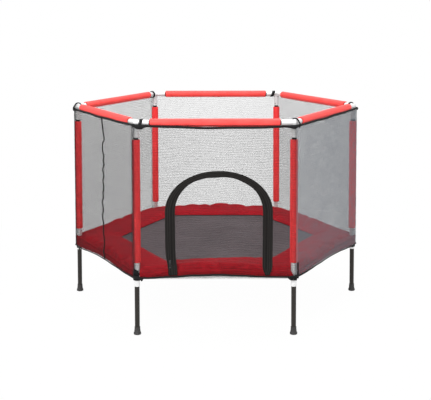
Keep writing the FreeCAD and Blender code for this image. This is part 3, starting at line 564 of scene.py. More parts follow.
# The upper hem hangs in a shallow bow between its corners, with a slight ripple
def top_height(turn):
    side, share = on_side(turn)
    level = TOP_AT_CORNER[side] + (TOP_AT_CORNER[(side + 1) % 6] - TOP_AT_CORNER[side]) * share
    sag = TOP_SAG[side] * 4 * share * (1 - share)
    return level - sag + 0.0012 * math.sin(turn * 19 + 2) * math.sin(math.pi * share)


# The net's foot swings out a little between the posts, over the folds of the skirt
def foot_swing(turn, height):
    share = on_side(turn)[1]
    return 0.0035 * min(1.0, 8 * share, 8 * (1 - share)) * smooth_step(0.33 - height, 0, 0.03)


# The heights over which the net begins to belly out: higher up in front, where the doorway holds it
BILLOW_FROM = (0.33, 0.42)
BILLOW_FROM_FRONT = (0.36, 0.60)


# How far the net bellies out between its posts and hems
def billow(turn, height):
    side, share = on_side(turn)
    fade = math.sin(math.pi * share)
    low, high = BILLOW_FROM_FRONT if side == FRONT else BILLOW_FROM
    fade *= smooth_step(height, low, high)
    wave = rumple(turn * 3.1, height * 5.0, 0.3)
    ripple = rumple(turn * 7.0, height * 26.0, 4.1)
    return fade * (0.0035 * wave + 0.0010 * ripple) + foot_swing(turn, height)


# Net: flat places are the turn in metres along the wall, and the height

# A point of the net, on its outer face unless another offset is given
def on_net(turn, height, offset=NET_THICKNESS):
    return wall_place(turn, height, NET_OFFSET + offset + billow(turn, height))


def net_place(along, height, offset):
    return on_net(along / SIDE_LENGTH, height, offset)


# Columns to a side and rows of the net; the heights of the grid round the doorway, and the places
# and heights of the one inside it, which keep clear of its outline
NET_COLUMNS = 30
NET_ROWS = 26
FRONT_GRID = (0.29, 0.93)
DOOR_SPAN = (-0.19, 0.22)
DOOR_RISE = (0.29, 0.72)
DOOR_STEPS = 22
FILL_CLEARANCE = 0.010
# Where the strips of the net begin and end, near the sewn seam
SEAM_SHARE = 0.53


# The flat place of a point of the front plane
def in_front(x, height):
    share = 0.5 + x / hexagon_radius(height)
    run = CORNER_SHARE + share * (1 - 2 * CORNER_SHARE)
    return (FRONT + run) * SIDE_LENGTH


def net_strip_columns(side, start=0.0, end=1.0):
    shares = [share for share in steps(0, 1, NET_COLUMNS) if start < share < end]
    shares += [start, end]
    for bend in (0.25, 0.5, 0.75, 1.0):
        for share in (CORNER_SHARE * bend, 1 - CORNER_SHARE * bend):
            if start <= share <= end:
                shares.append(share)
    return [(side + share) * SIDE_LENGTH for share in sorted(set(shares))]


# Doorway outlines in the front plane, from the foot of the left leg over the crown to the right foot

DOOR_CENTRE = 0.016
DOOR_SPRING = 0.557
DOOR_GAP = 0.0003
HEM_HEIGHT = 0.009
# Net left under the hem's edge
HEM_LAP = 0.002
# Each outline: half width, crown, how far its left and its right foot move inwards, fullness of the arch
# (2 is an ellipse) and how far its crown wanders
BAND = (0.234, 0.742, 0.0124, 0.0150, 2.06, 0.0)
PARTING = (0.205, 0.726, 0.0, 0.0, 2.12, 0.0)
INNER = (0.190, 0.715, 0.0084, -0.0130, 2.2, 0.020)
LEG_STEPS, ARCH_STEPS = 20, 26
# Heights between which the left foot moves inwards, and the one under which the right foot does
TAPER_TOP = 0.40
TAPER_FOOT = 0.28
POINT_TOP = 0.325


def arch(half, crown, left_foot, right_foot, fullness, wander):
    rise, leg = crown - DOOR_SPRING, DOOR_SPRING - TAPER_FOOT
    right = [(half, TAPER_FOOT + leg * share**1.6) for share in steps(0, 1, LEG_STEPS)]
    for turn in steps(0, math.pi / 2, ARCH_STEPS)[1:]:
        across, up = [max(0.0, part) ** (2 / fullness) for part in (math.cos(turn), math.sin(turn))]
        right.append((half * across, DOOR_SPRING + rise * up))
    left = [(-x, height) for x, height in right]
    outline = left + list(reversed(right[:-1]))
    shaped = []
    for x, height in outline:
        if height > DOOR_SPRING:
            angle = math.atan2(height - DOOR_SPRING, x)
            wave = math.sin(angle) * wander * rumple(angle * 3.4, 1.7, 0.4)
            x, height = x * (1 + wave), DOOR_SPRING + (height - DOOR_SPRING) * (1 + wave)
        if x < 0:
            x += left_foot * smooth_step(TAPER_TOP - height, 0, TAPER_TOP - TAPER_FOOT)
        else:
            x -= right_foot * max(0.0, (POINT_TOP - height) / (POINT_TOP - TAPER_FOOT)) ** 2
        shaped.append((x + DOOR_CENTRE, height))
    return shaped


def door_foot(x):
    turn = in_front(x, FRAME_HEIGHT) / SIDE_LENGTH
    return edge_height(turn) + HEM_HEIGHT + HEM_LAP


# Whether a point is inside a closed outline
def inside(outline, x, y):
    found = False
    for (ax, ay), (bx, by) in zip(outline, outline[1:] + outline[:1]):
        if (ay > y) != (by > y) and x < ax + (y - ay) / (by - ay) * (bx - ax):
            found = not found
    return found


# Triangles between closed outlines, the first of which is the doorway's, and the grid points inside
# or outside the doorway that aren't too near to an outline
def fill(outlines, xs, ys, keep_inside):
    door = outlines[0]
    points, edges = [], []
    for outline in outlines:
        base, size = len(points), len(outline)
        points += [Vector(point) for point in outline]
        edges += [(base + i, base + (i + 1) % size) for i in range(size)]
    taken = list(points)
    for spot in (Vector((x, y)) for x in xs for y in ys):
        clear = all((spot - other).length > FILL_CLEARANCE for other in taken)
        if clear and inside(door, spot.x, spot.y) == keep_inside:
            points.append(spot)
    made = geometry.delaunay_2d_cdt(points, edges, [], 0, 1e-6)
    corners, triangles = made[0], made[2]
    kept = []
    for triangle in triangles:
        middle = sum((corners[i] for i in triangle), Vector((0, 0))) / 3
        if inside(door, middle.x, middle.y) == keep_inside:
            kept.append(tuple(triangle))
    return [tuple(corner) for corner in corners], kept


def on_wall(outline):
    return [(in_front(x, height), height) for x, height in outline]


# An outline whose legs are stretched down to the hem
def door_outline(size, gap=0.0):
    half, crown, *shape = size
    outline = []
    for x, height in arch(half - gap, crown - gap, *shape):
        low = door_foot(x) + gap
        share = (height - TAPER_FOOT) / (DOOR_SPRING - TAPER_FOOT)
        outline.append((x, low + (DOOR_SPRING - low) * share if share < 1 else height))
    return outline


# One column of the net: its rows run from the lower hem to the upper one, whatever their heights are
def net_column(along):
    turn = along / SIDE_LENGTH
    rows = steps(edge_height(turn) + HEM_LAP, top_height(turn) - HEM_LAP, NET_ROWS)
    return [(along, height) for height in rows]


def make_net_pieces():
    flat = Flat()

    def strip(side, start=0.0, end=1.0):
        columns = [net_column(along) for along in net_strip_columns(side, start, end)]
        flat.patch(sum(columns, []), grid_faces(len(columns), NET_ROWS + 1))

    strip(SEAM_SIDE, SEAM_SHARE, 1)
    places = net_strip_columns(FRONT)
    columns = [net_column(along) for along in places]
    bottom, top = [column[0] for column in columns], [column[-1] for column in reversed(columns)]
    frame_ring = bottom + columns[-1][1:-1] + top + columns[0][-2:0:-1]
    outlines = [on_wall(door_outline(PARTING)), frame_ring]
    flat.patch(*fill(outlines, places[1:-1], steps(*FRONT_GRID, NET_ROWS), False))
    for side in (5, 0, 1, 2):
        strip(side)
    strip(SEAM_SIDE, 0, SEAM_SHARE)
    net = make_cloth("net_enclosure", flat, net_place, 0.0, NET_THICKNESS, "net_mesh")
    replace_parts(net, "net_wall", "net_front")

    leaf = Flat()
    outlines = [on_wall(door_outline(PARTING, gap=DOOR_GAP))]
    xs = [in_front(x, 0.5) for x in steps(*DOOR_SPAN, DOOR_STEPS)]
    leaf.patch(*fill(outlines, xs, steps(*DOOR_RISE, DOOR_STEPS), True))
    flap = make_cloth("door_net", leaf, net_place, 0.0, NET_THICKNESS, "net_mesh", "door")
    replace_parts(flap, "door_flap")


make_net_pieces()


# Strips: one closed section carried along stations, each a point, a way across it and a way out

class Strips:
    def __init__(self):
        self.points = []
        self.flat = []
        self.faces = []

    def lay(self, stations, section, closed=False):
        rows = len(section)
        base = len(self.points)
        run, last = 0.0, stations[0][0]
        for centre, across, out in stations:
            run += (centre - last).length
            last = centre
            for x, y in section:
                self.points.append(centre + across * x + out * y)
                self.flat.append((across.length * x, run))
        self.faces += grid_faces(len(stations), rows, True, base)
        if not closed:
            end = base + (len(stations) - 1) * rows
            self.faces += [tuple(range(base, base + rows)), tuple(range(end, end + rows))]

    def piece(self, name, slot, body="frame"):
        return make_piece(name, self.points, self.faces, slot, self.flat, body)


# A round wire or cord along points, its section kept from twisting
def lay_wire(strips, line, radius, sides=8):
    section = [(math.cos(turn), math.sin(turn)) for turn in steps(0, 2 * math.pi, sides)[:-1]]
    out = Vector((0.31, 0.17, 0.93))
    stations = []
    for behind, point, ahead in zip(line[:1] + line, line, line[1:] + line[-1:]):
        along = (ahead - behind).normalized()
        across = along.cross(out).normalized()
        out = across.cross(along).normalized()
        stations.append((point, across * radius, out * radius))
    strips.lay(stations, section)


# A curve through the given points, eased between them
def curve_through(points, steps_each=6):
    line = []
    for i in range(len(points) - 1):
        a, b = points[max(i - 1, 0)], points[i]
        c, d = points[i + 1], points[min(i + 2, len(points) - 1)]
        for t in steps(0, 1, steps_each)[:-1]:
            line.append(0.5 * (
                2 * b + (c - a) * t + (2 * a - 5 * b + 4 * c - d) * t**2
                + (3 * b - a - 3 * c + d) * t**3
            ))
    return line + [points[-1]]


# Places on the posts and on the rails: Z runs along them and X points outwards

def post_place(corner):
    turn = Matrix.Rotation(math.radians(60 * corner), 4, "Z")
    foot = Matrix.Translation((CORNER_RADIUS, 0, FRAME_HEIGHT))
    return turn @ foot @ Matrix.Rotation(-LEAN, 4, "Y")


def rail_place(side):
    start = corner_at(side, RING_RADIUS) + UP * RING_HEIGHT
    along = (corner_at(side + 1, 1) - corner_at(side, 1)).normalized()
    out = outward(side)
    frame = Matrix((out, along.cross(out), along)).transposed().to_4x4()
    return Matrix.Translation(start) @ frame


# A turned piece: a closed outline of radii and heights, spun round its place's Z axis
def spin(name, place, outline, sides, slot, wobble=None):
    points, flat = [], []
    for turn in steps(0, 2 * math.pi, sides):
        for radius, height in outline:
            reach = radius + (wobble(turn, height, radius) if wobble else 0)
            points.append(place @ Vector((reach * math.cos(turn), reach * math.sin(turn), height)))
            flat.append((turn * FOAM_RADIUS, height))
    return make_piece(name, points, grid_faces(sides + 1, len(outline), True), slot, flat)


# Foam sleeves, with soft ends and the slight dents of handling

FOAM_LIP = 0.003


def foam_outline(length):
    rise = [
        (FOAM_RADIUS - FOAM_LIP * (1 - math.sin(turn)), FOAM_LIP * (1 - math.cos(turn)))
        for turn in steps(0, math.pi / 2, 4)
    ]
    count = round(length / 0.012)
    sides = [(FOAM_RADIUS, height) for height in steps(FOAM_LIP, length - FOAM_LIP, count)[1:-1]]
    fall = [(radius, length - height) for radius, height in reversed(rise)]
    return rise + sides + fall + [(FOAM_BORE, length), (FOAM_BORE, 0)]


def make_foam_sleeve(name, node, place, length, slot, seed):
    def dent(turn, height, radius):
        if radius <= FOAM_BORE:
            return 0
        close = rumple(math.cos(turn), math.sin(turn), height * 16 + seed)
        wide = rumple(0.6 * math.cos(turn), 0.6 * math.sin(turn), height * 5 - seed)
        return 0.0003 * close + 0.0003 * wide

    sleeve = spin(name, place, foam_outline(length), 40, slot, dent)
    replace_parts(sleeve, node)


def make_foam_sleeves():
    start = SOCKET_RISE + 0.0003
    length = POST_REACH - TEE_DROP - BARE_POLE - start
    for corner, name in enumerate(CORNERS):
        place = post_place(corner) @ Matrix.Translation((0, 0, start))
        make_foam_sleeve("pole_foam_" + name, "pole_sleeve_" + name, place, length, "pole_foam", corner)
    reveal = TEE_STUB + RAIL_REVEAL
    length = RING_RADIUS - 2 * reveal
    for side, name in enumerate(SIDES):
        place = rail_place(side) @ Matrix.Translation((0, 0, reveal))
        make_foam_sleeve("rail_foam_" + name, "rail_sleeve_" + name, place, length, "rail_foam", 7 + side)


make_foam_sleeves()


# Rubber feet: a rim on the floor, a hollow-sided bell and a rolled lip at the mouth
def make_feet():
    outline = [
        (0.0005, 0), (0.0150, 0), (0.0161, 0.0005), (0.0166, 0.0016), (0.0166, 0.0078),
        (0.0161, 0.0090), (0.0152, 0.0096), (0.0146, 0.0112), (0.0140, 0.0150), (0.0134, 0.0200),
        (0.0129, 0.0260), (0.0126, 0.0316), (0.0129, 0.0326), (0.0130, 0.0338), (0.0126, 0.0348),
        (0.0120, 0.0350), (0.0112, 0.0344), (0.0112, 0.0060), (0.0005, 0.0060),
    ]
    reach = FRAME_HEIGHT / math.cos(LEAN)
    for corner, name in enumerate(CORNERS):
        place = post_place(corner) @ Matrix.Translation((0, 0, -reach))
        foot = spin("foot_" + name, place, outline, 40, "foot_rubber")
        for point in foot.data.vertices:
            point.co.z = max(point.co.z, 0.0)
        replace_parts(foot, "leg_feet")


make_feet()


# Hems and seam of the net

# The way out of the wall
def facing(turn, height):
    return (wall_place(turn, height, 0.02) - wall_place(turn, height, 0.01)).normalized()


def wall_turns():
    turns = {round(along / SIDE_LENGTH, 6) for side in range(6) for along in net_strip_columns(side)}
    return sorted(turns)


# How tall the lower hem is, at each corner and mid-side
HEM_AT_CORNER = [0.0060, 0.0070, 0.0070, 0.0050, 0.0085, 0.0080]
HEM_AT_MIDDLE = [0.0065, 0.0075, 0.0065, 0.0048, 0.0085, 0.0048]
HEM_SECTION = [
    (-0.5, 0.0), (-0.5, 0.0012), (-0.42, 0.0019), (-0.36, 0.0020), (-0.31, 0.0016), (-0.26, 0.0020),
    (0.0, 0.0023), (0.26, 0.0020), (0.31, 0.0016), (0.36, 0.0020), (0.42, 0.0019), (0.5, 0.0012),
    (0.5, 0.0),
]
NET_FACE = NET_OFFSET + NET_THICKNESS
TOP_HEM = 0.010

# The seam's wandering line on its side of the net: share of the side, and height
SEAM_LINE = [
    (0.522, 0.937), (0.522, 0.910), (0.549, 0.848), (0.552, 0.834), (0.524, 0.815), (0.524, 0.779),
    (0.544, 0.760), (0.528, 0.735), (0.545, 0.720), (0.520, 0.692), (0.543, 0.668), (0.523, 0.641),
    (0.541, 0.619), (0.541, 0.603), (0.524, 0.586), (0.537, 0.573), (0.537, 0.560), (0.519, 0.541),
    (0.537, 0.520), (0.538, 0.497), (0.520, 0.476), (0.540, 0.443), (0.535, 0.424), (0.536, 0.381),
    (0.545, 0.348), (0.537, 0.316), (0.545, 0.292), (0.555, 0.274),
]
SEAM_SECTION = [
    (-0.5, 0), (-0.46, 0.0016), (-0.30, 0.0040), (-0.10, 0.0050), (0.12, 0.0050), (0.30, 0.0040),
    (0.46, 0.0016), (0.5, 0),
]
SEAM_WIDTH = 0.0056


def upper_hem(turn):
    return top_height(turn) - TOP_HEM / 2, TOP_HEM


def lower_hem(turn):
    tall = around(turn, HEM_AT_CORNER, HEM_AT_MIDDLE)
    return edge_height(turn) + tall / 2, tall


def make_binding():
    strips = Strips()
    for hem in (upper_hem, lower_hem):
        stations = []
        for turn in wall_turns():
            middle, tall = hem(turn)
            stations.append((on_net(turn, middle), UP * tall, facing(turn, middle)))
        strips.lay(stations, HEM_SECTION, closed=True)
    stations = []
    for share, height in curve_through([Vector(spot) for spot in SEAM_LINE], 4):
        turn = SEAM_SIDE + share
        way = wall_place(turn + 0.01, height, NET_FACE) - wall_place(turn - 0.01, height, NET_FACE)
        stations.append((on_net(turn, height), way.normalized() * SEAM_WIDTH, facing(turn, height)))
    strips.lay(stations, SEAM_SECTION)
    binding = strips.piece("net_binding_tape", "black_binding")
    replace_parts(binding, "net_binding")


make_binding()


# Zip tapes: a ribbed band each side of the parting, with half of the zip's coil along it

OUTER_TAPE = [
    (-0.5, 0.0), (-0.5, 0.0009), (-0.43, 0.0010), (-0.41, 0.0015), (-0.37, 0.0014), (-0.28, 0.0006),
    (-0.25, 0.0012), (-0.20, 0.0012), (-0.17, 0.0006), (0.02, 0.0006), (0.05, 0.0012), (0.10, 0.0012),
    (0.13, 0.0006), (0.30, 0.0006), (0.34, 0.0013), (0.42, 0.0014), (0.48, 0.0011), (0.5, 0.0004),
    (0.5, 0.0),
]
INNER_TAPE = [
    (-0.5, 0.0), (-0.5, 0.0005), (-0.46, 0.0012), (-0.34, 0.0014), (-0.28, 0.0006), (-0.02, 0.0006),
    (0.02, 0.0012), (0.10, 0.0012), (0.14, 0.0006), (0.30, 0.0007), (0.36, 0.0016), (0.44, 0.0022),
    (0.56, 0.0024), (0.60, 0.0018), (0.60, 0.0014), (0.5, 0.0012), (0.5, 0.0),
]


def make_tape(name, node, outer, inner, section, body):
    stations = []
    for (ax, ay), (bx, by) in zip(outer, inner):
        a, b = on_net(in_front(ax, ay) / SIDE_LENGTH, ay), on_net(in_front(bx, by) / SIDE_LENGTH, by)
        stations.append(((a + b) / 2, a - b, outward(FRONT)))
    strips = Strips()
    strips.lay(stations, section)
    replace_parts(strips.piece(name, "zip_tape", body), node)


make_tape(
    "zip_tape_band", "zip_tape", door_outline(BAND), door_outline(PARTING), OUTER_TAPE, "frame",
)
make_tape(
    "door_tape_band", "flap_tape", door_outline(PARTING, gap=DOOR_GAP), door_outline(INNER),
    INNER_TAPE, "door",
)


# Elastic ties: bands looped round the stubs and the hem, wraps and knots at the feet

LOOP_STEP = 0.0024
ELASTIC_SECTION = [
    (-0.5, 0), (-0.5, 0.0007), (-0.38, 0.0013), (-0.12, 0.0010), (0.12, 0.0013), (0.38, 0.0010),
    (0.5, 0.0006), (0.5, 0),
]
GATHER_SECTION = [
    (-0.5, 0), (-0.44, 0.55), (-0.22, 0.95), (0.05, 1.0), (0.28, 0.85), (0.44, 0.5), (0.5, 0),
]
TOP_TIES = {
    # side: (place along its rail, band width, bands, reach round the stub, slant, times as thick)
    0: (0.0175, 0.0080, 1, 0.0150, 0.001, 3.2), 1: (0.0205, 0.0062, 3, 0.0146, -0.0055, 1.5),
    2: (0.0270, 0.0085, 1, 0.0146, 0.001, 3.2), 3: (0.0040, 0.0080, 1, 0.0162, 0.002, 3.6),
    4: (0.0195, 0.0145, 1, 0.0148, 0.0036, 1.6), 5: (0.0090, 0.0085, 1, 0.0150, 0.001, 3.4),
}
# Gathers of the top hem at the corners: shares of a turn before and after, bulge, how much taller
# the hem is where they are thickest, and the share where that is
TOP_GATHERS = {
    0: (0.012, 0.016, 0.0035, 0.45, 0.0), 3: (0.010, 0.020, 0.0030, 0.45, 0.0),
    4: (0.030, 0.090, 0.0060, 1.25, 0.050), 5: (0.078, 0.024, 0.0065, 0.75, -0.022),
}


# Bands round the posts: corner, first and last level above the frame, turns, reach, width, slant of the
# band towards and round the post, and the angle at which it starts
WRAPS = [
    ("right", -0.0285, -0.0285, 1, 0.0133, 0.0085, (0.0, 0.002), 0.0),
    ("back_right", -0.0175, -0.0175, 1, 0.0133, 0.0085, (0.0, 0.0), 0.0),
    ("back_left", -0.0175, -0.0175, 1, 0.0133, 0.0085, (0.0, 0.0), 0.0),
    ("left", -0.0340, -0.0340, 1, 0.0133, 0.0060, (0.0, 0.0), 0.0),
    ("front_left", -0.0030, 0.0310, 3.0, 0.0134, 0.0125, (0.001, -0.0095), 1.2),
    ("front_left", -0.0115, -0.0060, 1.6, 0.0150, 0.0125, (0.0, -0.001), 2.6),
    ("front_right", -0.0075, -0.0075, 1, 0.0140, 0.0110, (-0.002, 0.0), 0.0),
]
# Gathers of the lower hem: shares of a turn before and after the corner, and bulge
FOOT_GATHERS = {
    "back_right": (0.012, 0.012, 0.0020), "back_left": (0.012, 0.012, 0.0020),
    "front_left": (0.030, 0.046, 0.0055), "front_right": (0.042, 0.020, 0.0030),
}
# Knots beside the posts: corner, middle, size, width of the band, where its two tails end, seed
KNOTS = [
    ("left", (-0.003, 0.0185, -0.0370), 0.0045, 0.0045,
     ((0.001, -0.001, 0.013), (0.003, -0.002, -0.008)), 0.0),
    ("front_left", (0.012, 0.032, -0.0050), 0.0076, 0.0090,
     ((-0.014, 0.004, 0.002), (0.004, 0.017, 0.004)), 0.8),
]
# The loose elastic at the front right post: a sagging run from its foot, and a black strip that stands on
# the net, partly the strap's end and partly a painted shadow beside the post
SAG_LINE = [
    (-0.0244, -0.0190, 0.0016), (-0.0155, -0.0200, -0.0070), (-0.0027, -0.0190, -0.0088),
    (0.0115, -0.0180, -0.0093),
]
STRAP_AND_SHADE_SHARE = 0.018
STRAP_AND_SHADE_HEIGHTS = (0.262, 0.285, 0.310, 0.334)


# Points evenly spaced round the hull of spots in a plane, each with the way out of it
def taut_loop(spots):
    hull = [Vector(spots[i]) for i in geometry.convex_hull_2d(spots)]
    loop = []
    for a, b in zip(hull, hull[1:] + hull[:1]):
        pieces = max(1, round((b - a).length / LOOP_STEP))
        loop += [a.lerp(b, i / pieces) for i in range(pieces)]
    middle = sum(loop, Vector((0, 0))) / len(loop)
    ways = []
    for i, point in enumerate(loop):
        run = loop[(i + 1) % len(loop)] - loop[i - 1]
        way = Vector((run.y, -run.x)).normalized()
        ways.append(way if way.dot(point - middle) > 0 else -way)
    return list(zip(loop, ways))


def lay_top_band(strips, side, place, width, reach, slant, thickness, seed):
    frame_place = rail_place(side)
    turned = frame_place.to_3x3()
    drop = RING_HEIGHT - top_height(side + CORNER_SHARE + place / RING_RADIUS)
    front = NET_FACE + 0.0030
    spots = [(reach * math.cos(a), reach * math.sin(a)) for a in steps(0, 2 * math.pi, 36)[:-1]]
    spots += [(front, drop - 0.0006), (front, drop + TOP_HEM + 0.0008)]
    stations = []
    for point, way in taut_loop(spots):
        wave = 0.0012 * rumple(point.x * 90, point.y * 90, seed)
        centre = frame_place @ Vector((point.x, point.y, place - slant * point.y / reach + wave))
        stations.append((centre, turned @ Vector((0, 0, width)), turned @ way.to_3d() * thickness))
    strips.lay(stations + stations[:1], ELASTIC_SECTION, closed=True)


# A bunched run of cloth along a hem: thickest at its peak, creased across
def lay_gather(strips, corner, before, after, height_of, hem, bulge, growth=0.45, peak=0.0):
    stations = []
    for share in steps(-before, after, 30):
        turn = (corner + share) % 6
        reach = before + peak if share < peak else after - peak
        swell = 0.5 + 0.5 * math.cos(math.pi * (share - peak) / reach)
        crease = 1 + 0.35 * rumple(share * 190, corner, 2.5)
        tall = abs(hem) * 2 * (1.02 + growth * swell * crease)
        middle = height_of(turn) + math.copysign(tall / 2, hem)
        centre = wall_place(turn, middle, NET_FACE + 0.0002)
        stations.append((centre, UP * tall, facing(turn, middle) * (0.0026 + bulge * swell * crease)))
    strips.lay(stations, GATHER_SECTION)


# An elastic band wound round a post, from one level to another
def lay_wrap(strips, corner, low, high, turns, reach, width, lean, start):
    frame_place = post_place(corner)
    turned = frame_place.to_3x3()
    stations = []
    for i, share in enumerate(steps(0, 1, max(24, round(turns * 30)))):
        angle = start + 2 * math.pi * turns * share
        radius = reach + 0.0006 * math.sin(5.3 * angle + corner) + 0.0007 * (i % 30) / 30
        level = low + (high - low) * share
        level += lean[0] * math.cos(angle) + lean[1] * math.sin(angle)
        way = heading(angle)
        centre = frame_place @ (way * radius + UP * level)
        stations.append((centre, turned @ Vector((0, 0, width)), turned @ way))
    closed = turns == 1
    if closed:
        stations[-1] = stations[0]
    strips.lay(stations, ELASTIC_SECTION, closed)


# A small overhand knot with its two tails
def lay_knot(strips, middle, size, width, tails, seed):
    line = []
    for t in steps(0, 2 * math.pi, 40)[1:-1]:
        line.append(middle + size * Vector((
            math.sin(t) + 2 * math.sin(2 * t + seed), 0.9 * math.sin(3 * t),
            math.cos(t) - 2 * math.cos(2 * t + seed),
        )) / 3)
    first, last = [middle + Vector(strap_and_shade) for strap_and_shade in tails]
    line = [first, first.lerp(line[0], 0.5)] + line + [last.lerp(line[-1], 0.5), last]
    stations = []
    for i, point in enumerate(line):
        run = (line[min(i + 1, len(line) - 1)] - line[max(i - 1, 0)]).normalized()
        out = (point - middle - run * (point - middle).dot(run)).normalized()
        stations.append((point, run.cross(out) * width, out))
    strips.lay(stations, ELASTIC_SECTION)


def make_ties():
    strips = Strips()
    for side, (place, width, bands, reach, slant, thickness) in TOP_TIES.items():
        for number in range(bands):
            shift = (number - (bands - 1) / 2) * width * 0.86
            odd = number % 2
            lay_top_band(
                strips, side, place + shift, width, reach + 0.0006 * odd, slant * (1 + 0.25 * odd),
                thickness, side * 3.0 + number,
            )
    for corner, (before, after, *shape) in TOP_GATHERS.items():
        lay_gather(strips, corner, before, after, top_height, -TOP_HEM / 2, *shape)
    ties = strips.piece("net_ties_top", "black_elastic")
    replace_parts(ties, "top_ties")

    strips = Strips()
    for name, *shape in WRAPS:
        lay_wrap(strips, CORNERS.index(name), *shape)
    for name, (before, after, bulge) in FOOT_GATHERS.items():
        lay_gather(strips, CORNERS.index(name), before, after, edge_height, HEM_HEIGHT / 2, bulge)
    for name, middle, *shape in KNOTS:
        lay_knot(strips, post_place(CORNERS.index(name)) @ Vector(middle), *shape)
    corner = CORNERS.index("front_right")
    foot = post_place(corner).translation
    # A black strip up the net from the hem to the pad, partly the strap's end and partly a painted shadow
    # beside the post
    strap_and_shade = [wall_place(corner + STRAP_AND_SHADE_SHARE, height, NET_FACE + 0.002) for height in STRAP_AND_SHADE_HEIGHTS]
    lay_wire(strips, curve_through([foot + Vector(spot) for spot in SAG_LINE]), 0.0050)
    lay_wire(strips, curve_through(strap_and_shade), 0.0038)
    ties = strips.piece("net_ties_foot", "black_elastic")
    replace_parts(ties, "foot_ties")


make_ties()


# Mat: one taut sheet, with a doubled band sewn under its edge

MAT_BAND = 0.028
MAT_COLUMNS = 96


def make_mat_sheet():
    flat = Flat()
    shares = sorted(set(steps(0, 1, 24) + [1 - MAT_BAND / COS_30 / MAT_RADIUS]))
    points = []
    for turn in steps(0, 6, MAT_COLUMNS):
        edge = side_at(*on_side(turn), MAT_RADIUS)
        points += [(edge.x * share, edge.y * share) for share in shares]
    flat.patch(points, grid_faces(MAT_COLUMNS + 1, len(shares)))
    band_from = MAT_RADIUS * COS_30 - MAT_BAND - 1e-4

    def place(x, y, offset):
        inner = max(abs(Vector((x, y, 0)).dot(outward(side))) for side in range(6))
        sag = 0.0016 * (1 - (inner / (MAT_RADIUS * COS_30)) ** 2)
        under = 0.0015 if offset < 0 and inner > band_from else 0
        return Vector((x, y, MAT_TOP - sag + offset - under))

    mat = make_cloth("jumping_mat", flat, place, -MAT_THICKNESS, 0.0, "mat_weave", "mat")
    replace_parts(mat, "mat")


make_mat_sheet()


# Springs: a close coil, a hook through the frame tube's hole and a hook over the mat's ring

SPRING_ROW = 0.420
SPRINGS_PER_SIDE = 5
SPRING_LEVEL = 0.2847
SPRING_WIRE = 0.0009
COIL_RADIUS = 0.0046
COIL_ENDS = (0.5062, 0.5780)
COIL_TURNS = 18
COIL_SIDES = 10
HOOK_CLIMB = math.radians(50)
RING_LINE = 0.4948
HOOK_SWING = 0.0029


def make_springs():
    towards = Vector((math.cos(HOOK_CLIMB), 0, -math.sin(HOOK_CLIMB)))
    tube = Vector((CORNER_RADIUS * COS_30, 0, FRAME_HEIGHT))
    hole = tube - towards * TUBE_RADIUS
    bend = hole - towards * ((SPRING_LEVEL - hole.z) / math.sin(HOOK_CLIMB))
    low, high = COIL_ENDS
    ring_hook = [
        (RING_LINE + 0.0045, -HOOK_SWING), (RING_LINE, -HOOK_SWING), (RING_LINE - HOOK_SWING, 0),
        (RING_LINE, HOOK_SWING), (low - 0.004, HOOK_SWING),
    ]
    line = curve_through([Vector((x, 0, SPRING_LEVEL + z)) for x, z in ring_hook], 4)
    for i, x in enumerate(steps(low, high, COIL_TURNS * COIL_SIDES)):
        angle = 2 * math.pi * i / COIL_SIDES
        y, z = COIL_RADIUS * math.sin(angle), COIL_RADIUS * math.cos(angle)
        line.append(Vector((x, y, SPRING_LEVEL + z)))
    line += [Vector((high + 0.003, 0, SPRING_LEVEL + 0.0012)), bend, hole, hole + towards * 0.006]
    for side, name in enumerate(SIDES):
        turn = Matrix.Rotation(math.radians(60 * side + 30), 4, "Z")
        strips = Strips()
        for y in steps(-SPRING_ROW / 2, SPRING_ROW / 2, SPRINGS_PER_SIDE - 1):
            lay_wire(strips, [turn @ (point + Vector((0, y, 0))) for point in line], SPRING_WIRE, 6)
        row = strips.piece("springs_" + name, "spring_steel", None)
        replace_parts(row, "springs")
        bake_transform(row)


make_springs()


# Safety pad: a stuffed ring with a lifted outer ridge, notched round each post

PAD_INNER_EDGE = -0.1735
PAD_OUTER_EDGE = 0.0122
PAD_CREST = -0.006
PAD_FLOOR = 0.2915
POST_NOTCH = 0.0143


def pad_place(turn, height, offset):
    return side_at(*on_side(turn), CORNER_RADIUS + offset / COS_30) + UP * height


# How far out the pad reaches before it meets the notch round a post
def pad_limit(turn):
    post = corner_at(round(turn), CORNER_RADIUS)
    offset = -0.02
    while offset < PAD_OUTER_EDGE and (pad_place(turn, 0, offset) - post).length >= POST_NOTCH:
        offset += 0.0005
    return min(offset, PAD_OUTER_EDGE)


RIDGE_WANDER_AT_CORNER = [0.002] * 6
RIDGE_WANDER_AT_MIDDLE = [0.0035, 0.0012, 0.0035, 0.0035, 0.0035, 0.0035]


def ridge_height(turn):
    wander = around(turn, RIDGE_WANDER_AT_CORNER, RIDGE_WANDER_AT_MIDDLE)
    return around(turn, RIDGE_AT_CORNER, RIDGE_AT_MIDDLE) + wander * drift(turn, 11, 2.4)


